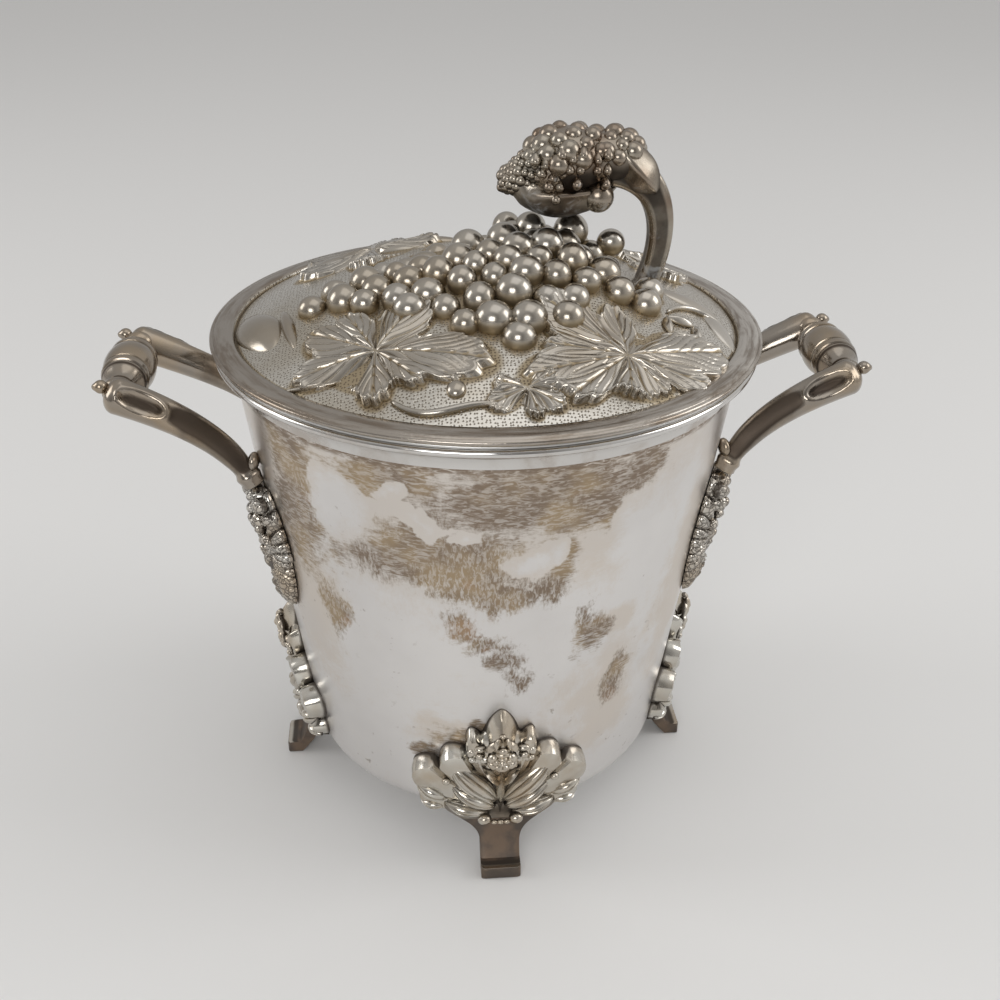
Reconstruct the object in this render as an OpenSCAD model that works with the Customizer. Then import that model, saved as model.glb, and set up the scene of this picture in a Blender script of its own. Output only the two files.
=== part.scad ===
// Footed ice bucket in silver plate, with a chased vine lid, cast handles and cast shell feet.
// Millimetres. The origin is on the table under the bucket's axis, +Z up, handles along X.

/* [Bucket] */
// Outer radius of the wall at the neck, just under the rim
neck_r = 87.5; // [75:0.5:110]
// Height of the neck above the table
neck_z = 173; // [150:1:210]
// Lean of the wall from upright, in degrees
wall_taper = 7.4; // [4:0.1:9]
// Height of the underside above the table
base_z = 17; // [14:0.5:26]
// Radius of the turn between wall and floor
corner_r = 12; // [10:0.5:16]
// Sheet thickness of the bucket
shell_t = 1.2; // [0.8:0.1:2]

/* [Rim] */
// Height of the rim moulding
rim_h = 9.3; // [7:0.1:14]
// How far the moulding flares out past the neck
rim_flare = 6.5; // [4:0.1:9]
// Step at the foot of the moulding
rim_step = 0.6; // [0.2:0.1:1.5]
// Radius of the rounded lip
lip_r = 1.4; // [0.8:0.1:2]

/* [Liner] */
// Sheet thickness of the liner
liner_t = 1.2; // [0.8:0.1:2]
// Space between bucket and liner
jacket_space = 6; // [4:0.5:7]
// Set-back of the liner's flange from the lip
flange_setback = 1; // [0.5:0.1:3]

/* [Lid] */
// How far the lid's edge stands past the rim
lid_overhang = 1; // [0:0.1:3]
// Height of the lid's edge moulding
edge_h = 3.2; // [2.6:0.1:5]
// Width of the lid's edge moulding
edge_w = 4; // [2.5:0.1:6]
// Sheet thickness of the lid
lid_t = 1.2; // [0.8:0.1:2]
// Width of the plain border between edge and chased ground
border_w = 8.5; // [6:0.1:14]
// Rise of the dome above the border
dome_h = 21.5; // [14:0.5:30]
// Sheet thickness of the pan inside the lid
pan_t = 0.9; // [0.6:0.1:1.5]
// Depth of the pan's collar in the liner's mouth
collar_h = 9; // [5:0.5:16]
// Gap between collar and liner
collar_gap = 0.8; // [0.5:0.1:2]

/* [Chased relief] */
// Radius of a grape
grape_r = 4.9; // [4:0.1:5.1]
// Distance between neighbouring grapes
grape_pitch = 10.4; // [10.3:0.1:13]
// Length of the bunch along X
bunch_len = 118; // [95:1:124]
// Half of the bunch's greatest width
bunch_half_w = 47; // [35:1:52]
// Height of the mound under the bunch above the dome's top
mound_h = 6; // [4:0.5:8]
// Radius of the mound's curve
mound_r = 65; // [60:1:72]
// Height of a grape's middle above the ground
grape_lift = 1.8; // [0.8:0.1:2.5]
// Least room between a grape and the finial's foot
finial_room = 1; // [0.5:0.1:2]
// Length of a vine leaf's lobes
leaf_r = 31; // [24:0.5:34]
// Thickness of a vine leaf above the ground
leaf_t = 1.8; // [1:0.1:2.5]
// Distance of the leaves' middles from the lid's axis
leaf_ring_r = 56; // [48:0.5:58]

/* [Finial] */
// Distance of the finial's foot from the lid's axis
finial_x = 57; // [54:0.5:64]
// Side of the square branch at its foot
branch_w = 7.6; // [6:0.1:9]
// Height of the branch's arch above the dome
branch_h = 38.5; // [34:0.5:44]
// Length of the cast bunch
cast_len = 43; // [36:0.5:48]
// Greatest radius of the cast bunch's core
cast_r = 14; // [10:0.5:14.5]
// Radius of a cast grape
cast_grape_r = 2.4; // [1.8:0.1:2.8]

/* [Handles] */
// Reach of the grip's axis past the neck
grip_reach = 36.8; // [30:0.5:45]
// Drop of the grip's axis below the neck
grip_drop = 2.5; // [0:0.5:10]
// Half of the grip's length between the arms
grip_half = 17; // [15:0.5:20]
// Radius of the grip at its middle
grip_r = 8.8; // [7:0.1:10]
// Radius of the grip's ends
grip_end_r = 4.8; // [4:0.1:5.5]
// Distance from the arm's middle to the grip's end
arm_set = 6; // [5:0.1:8]
// Width of an arm at its foot
arm_foot_w = 7.4; // [6:0.1:9]
// Width of an arm at its scroll
arm_scroll_w = 12; // [10:0.1:13]
// Angle of a handle mount from the X axis, in degrees
mount_angle = 19.5; // [18:0.5:22]

/* [Handle mounts] */
// Drop of a mount's top below the neck
mount_drop = 34; // [30:0.5:40]
// Height of a mount
mount_h = 52; // [44:0.5:58]
// Half of a mount's greatest width
mount_half_w = 13.5; // [10:0.5:15]
// Relief of a mount's boss above the wall
mount_relief = 9.4; // [7:0.1:11]

/* [Feet] */
// Reach of the toe's edge from the bucket's axis
toe_r = 82; // [78:0.5:90]
// Height of the toe's front face
toe_h = 5; // [3:0.5:7]
// Half of the stem's width
stem_half_w = 7; // [5:0.5:8.5]
// Height of the fan's root above the table
fan_z = 24; // [22:0.5:28]
// Length of the fan's middle petal
fan_len = 49; // [40:0.5:54]
// Relief of the petals above the wall
fan_relief = 6; // [4:0.1:8]
// Relief of the flower boss above the petals
flower_relief = 3; // [2:0.1:4]

/* [Fits] */
// Film of solder between a casting and the sheet that it sits on
solder_gap = 0.15; // [0.1:0.05:0.3]
// Clearance of the packing between bucket and liner
pack_gap = 0.3; // [0.2:0.05:0.6]

/* [Hidden] */
$fn = 96;

silver = "#c9c6c0";
tarnished = "#8f8678";
steel = "#b9bcc0";
cork = "#b08a5c";
wool = "#d9d2bd";

// Bucket wall: the radius of its outer face at a height, and a vessel section set inwards by d.
lean = tan(wall_taper);
function wall_r(z) = neck_r - (neck_z - z) * lean;
turn_z = base_z + corner_r;
turn_r = wall_r(turn_z - corner_r * sin(wall_taper)) - corner_r * cos(wall_taper);
turn_steps = 10;
function set_in(d, z) = wall_r(z) - d / cos(wall_taper);
function turn(d) = [for (i = [0:turn_steps])
    let (a = 90 - i * (90 - wall_taper) / turn_steps)
    [turn_r + (corner_r - d) * cos(a), turn_z - (corner_r - d) * sin(a)]];
function vessel(d, top) = concat([[0, base_z + d]], turn(d), [[set_in(d, top), top]]);
function back(points) = [for (i = [len(points) - 1:-1:0]) points[i]];

// Levels of the rim, the liner's flange and the lid's seat.
rim_z = neck_z + rim_h;
rim_r = neck_r + rim_flare;
liner_in = shell_t + jacket_space;
flange_r = rim_r - flange_setback;
seat_z = rim_z + liner_t;

// Lid: the dome is a cap of a ball that stands on the border.
lid_r = rim_r + lid_overhang;
border_r = lid_r - edge_w;
border_z = seat_z + pan_t;
dome_r = lid_r - border_w;
dome_z = border_z + lid_t;
ball_r = (dome_r * dome_r + dome_h * dome_h) / (2 * dome_h);
ball_z = dome_z + dome_h - ball_r;
function ball_top(x, y) = ball_z + sqrt(ball_r * ball_r - x * x - y * y);

// Mound under the bunch of grapes, a cap of a smaller ball.
mound_x = 10;
mound_y = -8;
mound_z = dome_z + dome_h + mound_h - mound_r;
mound_reach = 42;
function mound_top(x, y) = let (d2 = pow(x - mound_x, 2) + pow(y - mound_y, 2))
    d2 < mound_reach * mound_reach ? mound_z + sqrt(mound_r * mound_r - d2) : 0;
function ground(x, y) = max(ball_top(x, y), mound_top(x, y));

module ball(r, at) {
    translate(at) sphere(r);
}

module bucket_shell() {
    color(silver)
        rotate_extrude()
            polygon(concat(vessel(0, neck_z), back(vessel(shell_t, neck_z))));
}

module rim_moulding() {
    foot_r = neck_r + rim_step;
    cove_r = rim_r - lip_r;
    cove_h = rim_h - 2 * lip_r;
    cove = [for (a = [0:10:90]) [foot_r + (cove_r - foot_r) * (1 - cos(a)), neck_z + cove_h * sin(a)]];
    lip = [for (a = [-75:15:90]) [cove_r + lip_r * cos(a), rim_z - lip_r + lip_r * sin(a)]];
    inner_r = neck_r - shell_t / cos(wall_taper);
    color(silver)
        rotate_extrude()
            polygon(concat([[inner_r, neck_z]], cove, lip, [[inner_r, rim_z]]));
}

module liner() {
    outside = concat(vessel(liner_in, rim_z), [[flange_r, rim_z], [flange_r, seat_z]]);
    color(steel)
        rotate_extrude()
            polygon(concat(outside, back(vessel(liner_in + liner_t, seat_z))));
}

module insulation_jacket() {
    outer = shell_t + pack_gap;
    inner = liner_in - pack_gap;
    color(wool)
        rotate_extrude()
            polygon([[set_in(outer, turn_z), turn_z], [set_in(outer, neck_z), neck_z],
                [set_in(inner, neck_z), neck_z], [set_in(inner, turn_z), turn_z]]);
}

module base_cushion() {
    color(cork)
        translate([0, 0, base_z + shell_t])
            cylinder(r = turn_r, h = jacket_space);
}

// A vine leaf's outline in polar form: the farthest of its lobes, [angle, share of leaf_r, spread].
leaf_step = 8;
leaf_core = 0.4;
leaf_margin = 0.8;
function lobe_reach(lobe, t) = let (off = abs(((t - lobe[0]) % 360 + 540) % 360 - 180))
    leaf_r * lobe[1] * (leaf_core + (1 - leaf_core) * pow(max(1 - off / lobe[2], 0), 0.7));
function leaf_reach(lobes, t) = max([for (lobe = lobes) lobe_reach(lobe, t)]);

// Leaves: [angle round the lid, share of leaf_ring_r, lobes].
leaves = [
    [-126, 1.15, [[186, 0.87, 30], [142, 0.9, 34], [112, 0.84, 28], [58, 0.97, 40], [-16, 1.23, 32],
        [-50, 0.71, 26], [-92, 0.71, 34]]],
    [-56, 1.23, [[142, 1.1, 34], [176, 0.87, 24], [200, 1.16, 28], [224, 0.94, 26], [-95, 0.48, 34],
        [-43, 0.55, 34], [-8, 0.9, 26], [24, 1.29, 34], [92, 0.81, 30]]],
    [-85, 1.31, [[205, 0.45, 40], [165, 0.35, 34], [-75, 0.35, 36], [-28, 0.42, 40], [30, 0.35, 40]]],
    [142, 0.86, [[200, 0.97, 36], [140, 1.06, 38], [80, 1.03, 36], [20, 0.84, 36], [255, 0.71, 36]]],
    [55, 1.05, [[150, 1.06, 38], [95, 0.9, 34], [40, 0.81, 36], [-20, 1.03, 38], [215, 0.77, 36]]],
    [24, 1.2, [[-60, 0.55, 40], [10, 0.55, 42], [80, 0.58, 42], [150, 0.39, 42], [-120, 0.45, 40]]]];

module leaf(spec) {
    away = leaf_ring_r * spec[1];
    translate([away * cos(spec[0]), away * sin(spec[0]), dome_z])
        linear_extrude(dome_h + mound_h)
            polygon([for (t = [0:leaf_step:360 - leaf_step]) leaf_reach(spec[2], t) * [cos(t), sin(t)]]);
}

// Foot of the finial's branch on the dome, which the grapes keep clear of.
finial_y = 5;
branch_lean = 1;
branch_corner = 1.08;
function clear_of_foot(x, y) = norm([x - finial_x + branch_lean, y - finial_y])
    >= grape_r + branch_w / 2 * branch_corner + finial_room;

// Grapes in staggered rows inside a pear-shaped outline that narrows and sways towards its tip at -X.
bunch_tip_x = -68;
bunch_y = -8;
bunch_sway = 9;
bunch_tail_w = 5;
function bunch_share(x) = (x - bunch_tip_x) / bunch_len;
function bunch_mid(x) = bunch_y - bunch_sway * pow(1 - bunch_share(x), 2);
function bunch_w(x) = let (s = bunch_share(x)) s <= 0 || s >= 1 ? 0
    : bunch_tail_w + (bunch_half_w - bunch_tail_w) * sin(180 * pow(s, 1.6));
row_h = grape_pitch * sin(60);
function in_bunch(x, y) = abs(y - bunch_mid(x)) <= bunch_w(x) - grape_r * 0.6;
rows = ceil(bunch_half_w / row_h);
columns = ceil(bunch_len / grape_pitch);
grapes = [for (j = [-rows:rows], i = [0:columns])
    let (x = bunch_tip_x + grape_pitch * (i + (abs(j) % 2) / 2 + 0.5), y = bunch_y + row_h * j)
    if (in_bunch(x, y) && clear_of_foot(x, y)) [x, y, ground(x, y) + grape_lift]];

module lid_shell() {
    color(silver)
        difference() {
            union() {
                translate([0, 0, border_z]) cylinder(r = border_r, h = lid_t);
                intersection() {
                    ball(ball_r, [0, 0, ball_z]);
                    translate([0, 0, border_z]) cylinder(r = dome_r, h = dome_h + lid_t);
                }
                intersection() {
                    ball(mound_r, [mound_x, mound_y, mound_z]);
                    translate([mound_x, mound_y, border_z]) cylinder(r = mound_reach, h = dome_h + 2 * mound_h);
                }
                intersection() {
                    ball(ball_r + leaf_t, [0, 0, ball_z]);
                    translate([0, 0, border_z]) cylinder(r = dome_r - leaf_margin, h = dome_h + mound_h);
                    union() for (spec = leaves) leaf(spec);
                }
                for (place = grapes) ball(grape_r, place);
            }
            intersection() {
                ball(ball_r - lid_t, [0, 0, ball_z]);
                translate([0, 0, border_z - lid_t]) cylinder(r = dome_r - lid_t, h = dome_h + lid_t);
            }
        }
}

module lid_edge() {
    half = edge_h / 2;
    bead = [for (a = [-90:15:90]) [lid_r - half + half * cos(a), seat_z + half + half * sin(a)]];
    color(silver)
        rotate_extrude()
            polygon(concat([[border_r + solder_gap, seat_z]], bead, [[border_r + solder_gap, seat_z + edge_h]]));
}

module lid_pan() {
    collar_r = set_in(liner_in + liner_t, seat_z - collar_h) - collar_gap;
    floor_z = seat_z - collar_h;
    color(silver)
        rotate_extrude()
            polygon([[0, floor_z], [collar_r, floor_z], [collar_r, seat_z], [border_r, seat_z],
                [border_r, border_z], [collar_r - pan_t, border_z], [collar_r - pan_t, floor_z + pan_t],
                [0, floor_z + pan_t]]);
}

// A tube through a list of sections, each a closed ring with the same number of points.
module loft(rings) {
    sides = len(rings[0]);
    last = len(rings) - 1;
    walls = [for (k = [0:last - 1], i = [0:sides - 1]) let (a = k * sides, n = (i + 1) % sides)
        each [[a + i, a + sides + n, a + n], [a + i, a + sides + i, a + sides + n]]];
    caps = [[for (i = [0:sides - 1]) i], [for (i = [sides - 1:-1:0]) last * sides + i]];
    polyhedron([for (ring = rings) each ring], concat(walls, caps), convexity = 6);
}

// A point on a curve with four guide points.
function bend(p, t) = pow(1 - t, 3) * p[0] + 3 * t * pow(1 - t, 2) * p[1]
    + 3 * t * t * (1 - t) * p[2] + pow(t, 3) * p[3];
function bend_way(p, t) = let (d = (bend(p, t + 0.01) - bend(p, t - 0.01))) d / norm(d);

// Finial: a square branch that arches from the dome to the end of the cast bunch.
foot_z = ball_top(finial_x, finial_y);
branch_reach = 10;
branch_sink = 2;
branch_belly = 7;
cast_x = finial_x - branch_reach;
cast_z = foot_z + branch_h;
branch = [[finial_x - branch_lean, foot_z - branch_sink], [finial_x + branch_belly, foot_z + branch_h * 0.55],
    [finial_x + 2 * branch_lean, cast_z], [cast_x, cast_z]];
branch_steps = 14;
function branch_ring(t) = let (way = t < 1 ? bend_way(branch, t) : [-1, 0], at = bend(branch, t),
        half = branch_w / 2 * (1 + 0.35 * t), side = [way[1], -way[0]])
    [for (a = [22.5:45:359]) let (u = half * branch_corner * cos(a), v = half * branch_corner * sin(a))
        [at[0] + side[0] * u, finial_y + v, at[1] + side[1] * u]];

module finial_branch() {
    color(tarnished)
        difference() {
            loft([for (i = [0:branch_steps]) branch_ring(i / branch_steps)]);
            ball(ball_r + solder_gap, [0, 0, ball_z]);
        }
}

// Cast bunch: a pointed core with rows of grapes over its upper side and its tip.
core_steps = 12;
function core_r(s) = cast_r * sin(180 * pow(0.12 + 0.88 * s, 1.25) * 0.86);
cast_rows = 6;
cast_ring = 7;

module finial_bunch() {
    color(tarnished)
        translate([cast_x, finial_y, cast_z])
            rotate([0, -90, 0])
                union() {
                    rotate_extrude()
                        polygon(concat([[0, 0]],
                            [for (i = [0:core_steps]) [core_r(1 - i / core_steps), cast_len * i / core_steps]],
                            [[0, cast_len]]));
                    for (row = [1:cast_rows], i = [0:cast_ring - 1])
                        let (s = row / (cast_rows + 1), a = -75 + 150 * (i + (row % 2) / 2) / cast_ring)
                        ball(cast_grape_r, [core_r(1 - s) * cos(a), core_r(1 - s) * sin(a), cast_len * s]);
                }
}

// Handles: a turned grip between two cast arms.
grip_x = neck_r + grip_reach;
grip_z = neck_z - grip_drop;
groove = 0.9;

module grip(side) {
    ring_y = grip_half * 0.5;
    swell = [for (i = [0:6]) [grip_r - 0.9 * pow(i / 6, 2), ring_y * 0.8 * i / 6]];
    ring = [[grip_r - 0.9 - groove, ring_y * 0.86], [grip_r - 0.9, ring_y], [grip_r - 0.9 - groove, ring_y * 1.16]];
    cup = [for (i = [0:5]) [grip_end_r + (grip_r - 1.8 - grip_end_r) * cos(18 * i),
        ring_y * 1.22 + (grip_half - ring_y * 1.22) * i / 5]];
    half = concat(swell, ring, cup);
    color(tarnished)
        translate([side * grip_x, 0, grip_z])
            rotate([90, 0, 0])
                rotate_extrude()
                    polygon(concat([[0, -grip_half]], back([for (p = half) [p[0], -p[1]]]),
                        [for (i = [1:len(half) - 1]) half[i]], [[0, grip_half]]));
}

mount_z = neck_z - mount_drop;
arm_root_r = wall_r(mount_z) + arm_foot_w / 2 + solder_gap;
arm_root = [arm_root_r * cos(mount_angle), arm_root_r * sin(mount_angle)];
arm_end_y = grip_half + arm_set;
arm_rise = 10;
arm_out = 4;
arm_bow = 0;
arm_level = 30;
arm_dip = 13;
arm = [[arm_root[0], arm_root[1], mount_z], [arm_root[0] + arm_out, arm_root[1] + arm_bow, mount_z + arm_rise],
    [grip_x - arm_level, arm_end_y + arm_bow, grip_z - arm_dip], [grip_x, arm_end_y, grip_z]];
arm_steps = 16;
arm_sides = 12;
nose_steps = 4;
nose_len = 4.2;
tip_r = 2.2;
function arm_half(t) = (arm_foot_w + (arm_scroll_w - arm_foot_w) * pow(t, 1.4)) / 2;
function arm_ring(at, way, half) =
    let (flat = way[0] == 0 ? [-sin(mount_angle), cos(mount_angle), 0] : [-way[1], way[0], 0] / norm([way[0], way[1]]),
        up = cross(flat, way))
    [for (i = [0:arm_sides - 1]) let (a = 360 * i / arm_sides) at + half * (flat * cos(a) - up * sin(a))];
arm_way = bend_way(arm, 1);
arm_nose = [for (i = [1:nose_steps]) let (a = 80 * i / nose_steps, half = arm_scroll_w / 2)
    arm_ring(arm[3] + arm_way * nose_len * sin(a), arm_way, half * cos(a))];
arm_tip = arm[3] + arm_way * (nose_len + tip_r / 2);

module arm_casting() {
    color(tarnished)
        union() {
            loft(concat([for (i = [0:arm_steps]) let (t = i / arm_steps)
                arm_ring(bend(arm, t), i > 0 ? bend_way(arm, t) : [0, 0, 1], arm_half(t))], arm_nose));
            translate([grip_x, grip_half, grip_z]) rotate([-90, 0, 0]) cylinder(r = grip_end_r, h = arm_set);
            ball(tip_r, arm_tip);
        }
}

module arm_at(side, end) {
    mirror([side < 0 ? 1 : 0, 0, 0])
        mirror([0, end < 0 ? 1 : 0, 0])
            arm_casting();
}

// A casting laid on the wall: a grid of points [sideways, height, relief], bent round the bucket.
function on_wall(p) = let (r = wall_r(p[1]), a = p[0] / r * 180 / PI)
    [(r + p[2]) * cos(a), (r + p[2]) * sin(a), p[1]];

module relief(grid) {
    n = len(grid);
    m = len(grid[0]);
    front = [for (row = grid, p = row) on_wall(p)];
    rear = [for (row = grid, p = row) on_wall([p[0], p[1], solder_gap])];
    q = n * m;
    skin = [for (i = [0:n - 2], j = [0:m - 2]) let (a = i * m + j, b = a + m)
        each [[a, b, b + 1], [a, b + 1, a + 1], [q + a, q + b + 1, q + b], [q + a, q + a + 1, q + b + 1]]];
    ends = [for (j = [0:m - 2]) let (b = (n - 1) * m + j)
        each [[j, j + 1, q + j + 1], [j, q + j + 1, q + j], [b, q + b + 1, b + 1], [b, q + b, q + b + 1]]];
    sides = [for (i = [0:n - 2]) let (a = i * m, b = a + m, c = a + m - 1, d = b + m - 1)
        each [[a, q + a, q + b], [a, q + b, b], [c, q + d, q + c], [c, d, q + d]]];
    polyhedron([each front, each rear], [each skin, each ends, each sides], convexity = 8);
}

// Handle mount: a hanging shell with ribbed edges and a flower boss.
mount_rows = 14;
mount_columns = 10;
function mount_w(s) = mount_half_w * (s < 0.75 ? 0.72 + 0.28 * sin(min(s / 0.3, 1) * 90)
    : cos((s - 0.75) / 0.25 * 75));
function mount_rise(s, c) = let (edge = 1 - pow(abs(c), 4))
    1.6 + mount_relief * (1 - 0.75 * pow(s, 2)) * (0.45 + 0.55 * cos(c * 80)) * edge * 0.8
    + 1.2 * (1 - abs(c)) * cos(360 * 2.5 * s);

module mount_casting() {
    color(tarnished)
        relief([for (i = [0:mount_rows]) let (s = i / mount_rows)
            [for (j = [0:mount_columns]) let (c = 2 * j / mount_columns - 1)
                [-c * mount_w(s), mount_z - mount_h * s, mount_rise(s, c)]]]);
}

module mount_at(side, end) {
    rotate(side > 0 ? end * mount_angle : 180 - end * mount_angle)
        mount_casting();
}

// Foot: a fan of petals on the wall, over a stem that turns out to a flat toe.
petals = 9;
petal_steps = 5;
fan_rings = 6;
fan_half_angle = 88;
function petal_bulge(t) = abs(sin(180 * (t + fan_half_angle) / (2 * fan_half_angle) * petals));
function petal_len(t) = fan_len * (0.68 + 0.32 * pow(max(cos(t * 1.5), 0), 2)) * (0.88 + 0.12 * petal_bulge(t));
function fan_rise(t, s) = fan_relief * (0.45 + 0.55 * pow(petal_bulge(t), 0.6) * sqrt(s)) * (1 - 0.55 * pow(s, 6))
    + flower_relief * max(0, cos(t * 3)) * (abs(t) < 30 ? 1 : 0) * pow(sin(180 * min(s, 0.99)), 2);

module fan_casting() {
    relief([for (i = [0:petals * petal_steps]) let (t = fan_half_angle * (1 - 2 * i / (petals * petal_steps)))
        [for (k = [0:fan_rings]) let (s = 0.08 + 0.92 * k / fan_rings, d = petal_len(t) * s)
            [d * sin(t), fan_z + d * cos(t), fan_rise(t, s)]]]);
}

stem_t = 5;
web_h = 4;
function stem_r(z) = let (top = wall_r(fan_z) + fan_relief * 0.6) top + (toe_r - top) * pow(1 - z / (fan_z + web_h), 3);

module stem() {
    top_z = fan_z + web_h;
    outer = [for (i = [0:8]) let (z = toe_h + (top_z - toe_h) * i / 8) [stem_r(z) - 1, z]];
    inner = [for (i = [8:-1:0]) let (z = top_z * i / 8) [stem_r(z) - stem_t - 1, z]];
    fillet = fan_z * 0.5;
    fillet_z = fan_z - fillet;
    side = [for (a = [0:15:90]) [stem_half_w + fillet * (1 - cos(a)), fillet_z + fillet * sin(a)]];
    half = concat([[stem_half_w, 0]], side, [[stem_half_w + fillet, top_z]]);
    intersection() {
        rotate([90, 0, 0])
            translate([0, 0, -2 * stem_half_w - fillet])
                linear_extrude(4 * stem_half_w + 2 * fillet)
                    polygon(concat([[toe_r, 0], [toe_r, toe_h]], outer, inner));
        rotate([90, 0, 90])
            linear_extrude(2 * toe_r)
                polygon(concat(half, back([for (p = half) [-p[0], p[1]]])));
    }
}

module foot_casting(angle) {
    color(tarnished)
        rotate(angle)
            union() {
                fan_casting();
                difference() {
                    stem();
                    rotate_extrude() polygon(concat(vessel(-solder_gap, neck_z), [[0, neck_z]]));
                }
            }
}

bucket_shell();
rim_moulding();
liner();
insulation_jacket();
base_cushion();
lid_shell();
lid_edge();
lid_pan();
finial_branch();
finial_bunch();
grip(-1);  // left_grip
arm_at(-1, -1);  // left_front_arm
arm_at(-1, 1);  // left_rear_arm
grip(1);  // right_grip
arm_at(1, -1);  // right_front_arm
arm_at(1, 1);  // right_rear_arm
mount_at(-1, -1);  // left_front_mount
mount_at(-1, 1);  // left_rear_mount
mount_at(1, -1);  // right_front_mount
mount_at(1, 1);  // right_rear_mount
foot_casting(-90);  // front_foot
foot_casting(0);  // right_foot
foot_casting(90);  // rear_foot
foot_casting(180);  // left_foot
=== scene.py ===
import math

import bpy
import numpy as np
from mathutils import Matrix, Vector


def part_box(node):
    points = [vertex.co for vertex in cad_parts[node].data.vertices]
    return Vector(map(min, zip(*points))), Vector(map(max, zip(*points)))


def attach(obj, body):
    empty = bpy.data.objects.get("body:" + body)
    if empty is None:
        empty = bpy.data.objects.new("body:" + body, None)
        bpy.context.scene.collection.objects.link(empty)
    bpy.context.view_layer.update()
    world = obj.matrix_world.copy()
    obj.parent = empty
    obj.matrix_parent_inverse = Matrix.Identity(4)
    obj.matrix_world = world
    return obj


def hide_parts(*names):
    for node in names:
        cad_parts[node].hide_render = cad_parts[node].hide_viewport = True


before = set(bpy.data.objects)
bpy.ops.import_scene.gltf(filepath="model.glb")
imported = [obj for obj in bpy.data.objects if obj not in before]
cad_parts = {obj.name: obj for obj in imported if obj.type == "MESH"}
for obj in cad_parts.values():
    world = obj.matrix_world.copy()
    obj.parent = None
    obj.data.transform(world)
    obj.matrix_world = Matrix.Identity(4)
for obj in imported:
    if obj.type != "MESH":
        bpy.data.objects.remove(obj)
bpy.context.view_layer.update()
mm = 0.001
print("frame loaded:", len(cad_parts), "pieces")


# Sizes read from the frame, in millimetres
def nodeBox(name):
    low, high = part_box(name)
    return np.array(low) / mm, np.array(high) / mm


shellLow, shellHigh = nodeBox("bucket_shell")
rimLow, rimHigh = nodeBox("rim_moulding")
linerHigh = nodeBox("liner")[1]
edgeLow, edgeHigh = nodeBox("lid_edge")
panLow, panHigh = nodeBox("lid_pan")
gripLow, gripHigh = nodeBox("right_grip")
mountLow, mountHigh = nodeBox("right_rear_mount")
footHigh = nodeBox("right_foot")[1]

bucket = {
    "neckR": shellHigh[0], "neckZ": shellHigh[2], "baseZ": shellLow[2],
    "taper": math.radians(7.4), "cornerR": 12.0, "sheet": 1.2, "linerGap": 7.2,
}
lid = {
    "edgeR": edgeHigh[0], "borderW": 8.5, "domeH": 21.5, "sheet": 1.2, "groundSink": 0.4,
    "mound": (10.0, -8.0), "moundR": 65.0, "moundH": 6.0, "moundBlend": 2.0,
}
lid["domeR"] = lid["edgeR"] - lid["borderW"]
lid["domeZ"] = panHigh[2] + lid["sheet"]
lid["ballR"] = (lid["domeR"] ** 2 + lid["domeH"] ** 2) / (2 * lid["domeH"])
lid["ballZ"] = lid["domeZ"] + lid["domeH"] - lid["ballR"]


def wallR(z):
    return bucket["neckR"] - (bucket["neckZ"] - z) * math.tan(bucket["taper"])


def onWall(side, height, lift):
    r = wallR(height)
    angle = side / r
    return np.stack([(r + lift) * np.cos(angle), (r + lift) * np.sin(angle), height], 1)


def domeTop(x, y):
    return lid["ballZ"] + np.sqrt(lid["ballR"] ** 2 - x ** 2 - y ** 2)


def moundTop(x, y):
    away = (x - lid["mound"][0]) ** 2 + (y - lid["mound"][1]) ** 2
    top = lid["domeZ"] + lid["domeH"] + lid["moundH"] - lid["moundR"]
    return top + np.sqrt(np.maximum(lid["moundR"] ** 2 - away, 1.0))


def softMax(a, b, blend):
    return (a + b + np.sqrt((a - b) ** 2 + blend ** 2)) / 2


def groundTop(x, y):
    return softMax(domeTop(x, y), moundTop(x, y), lid["moundBlend"]) - lid["groundSink"]


def onDome(x, y, lift):
    z = groundTop(x, y)
    out = np.stack([x, y, z - lid["ballZ"]], 1) / lid["ballR"]
    return np.stack([x, y, z], 1) + out * np.asarray(lift)[..., None]


# Modelling helpers
meshing = {"weldGap": 0.000002, "sharpAngle": math.radians(38)}


def around(degrees):
    return np.array([math.cos(math.radians(degrees)), math.sin(math.radians(degrees))])


def clearSelection():
    bpy.ops.object.select_all(action="DESELECT")


def pick(piece):
    clearSelection()
    piece.select_set(True)
    bpy.context.view_layer.objects.active = piece


def named(name):
    bpy.context.object.name = name
    return bpy.context.object


def editAll(piece):
    pick(piece)
    bpy.ops.object.mode_set(mode="EDIT")
    bpy.ops.mesh.select_all(action="SELECT")


def faceOutwards():
    bpy.ops.mesh.normals_make_consistent(inside=False)
    bpy.ops.object.mode_set(mode="OBJECT")


def readVertices(piece):
    flat = np.empty(len(piece.data.vertices) * 3)
    piece.data.vertices.foreach_get("co", flat)
    return flat.reshape(-1, 3)


def writeVertices(piece, spots):
    piece.data.vertices.foreach_set("co", (spots * mm).ravel())
    piece.data.update()


def moveVertices(piece, place):
    # place gives each vertex its spot in millimetres and a painted shade value, which the materials read: lighter
    # on tops and outward faces, darker underneath, in creases and beside neighbouring parts; set values above 1.2
    # and below -0.3 mark the lid's plain border and the stem's bronze tone
    spots, relief = place(readVertices(piece))
    writeVertices(piece, spots)
    layer = piece.data.attributes.new("relief", "FLOAT", "POINT")
    layer.data.foreach_set("value", np.broadcast_to(np.asarray(relief, float), (len(spots),)).copy())


def closeMesh(piece):
    editAll(piece)
    bpy.ops.mesh.remove_doubles(threshold=meshing["weldGap"])
    faceOutwards()
    bpy.ops.object.shade_smooth()


def wrapped(name, columns, rows, place):
    clearSelection()
    bpy.ops.mesh.primitive_grid_add(x_subdivisions=columns, y_subdivisions=rows, size=2)
    piece = named(name)
    moveVertices(piece, lambda p: place((p[:, 0] + 1) / 2, (p[:, 1] + 1) / 2))
    closeMesh(piece)
    return piece


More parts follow.
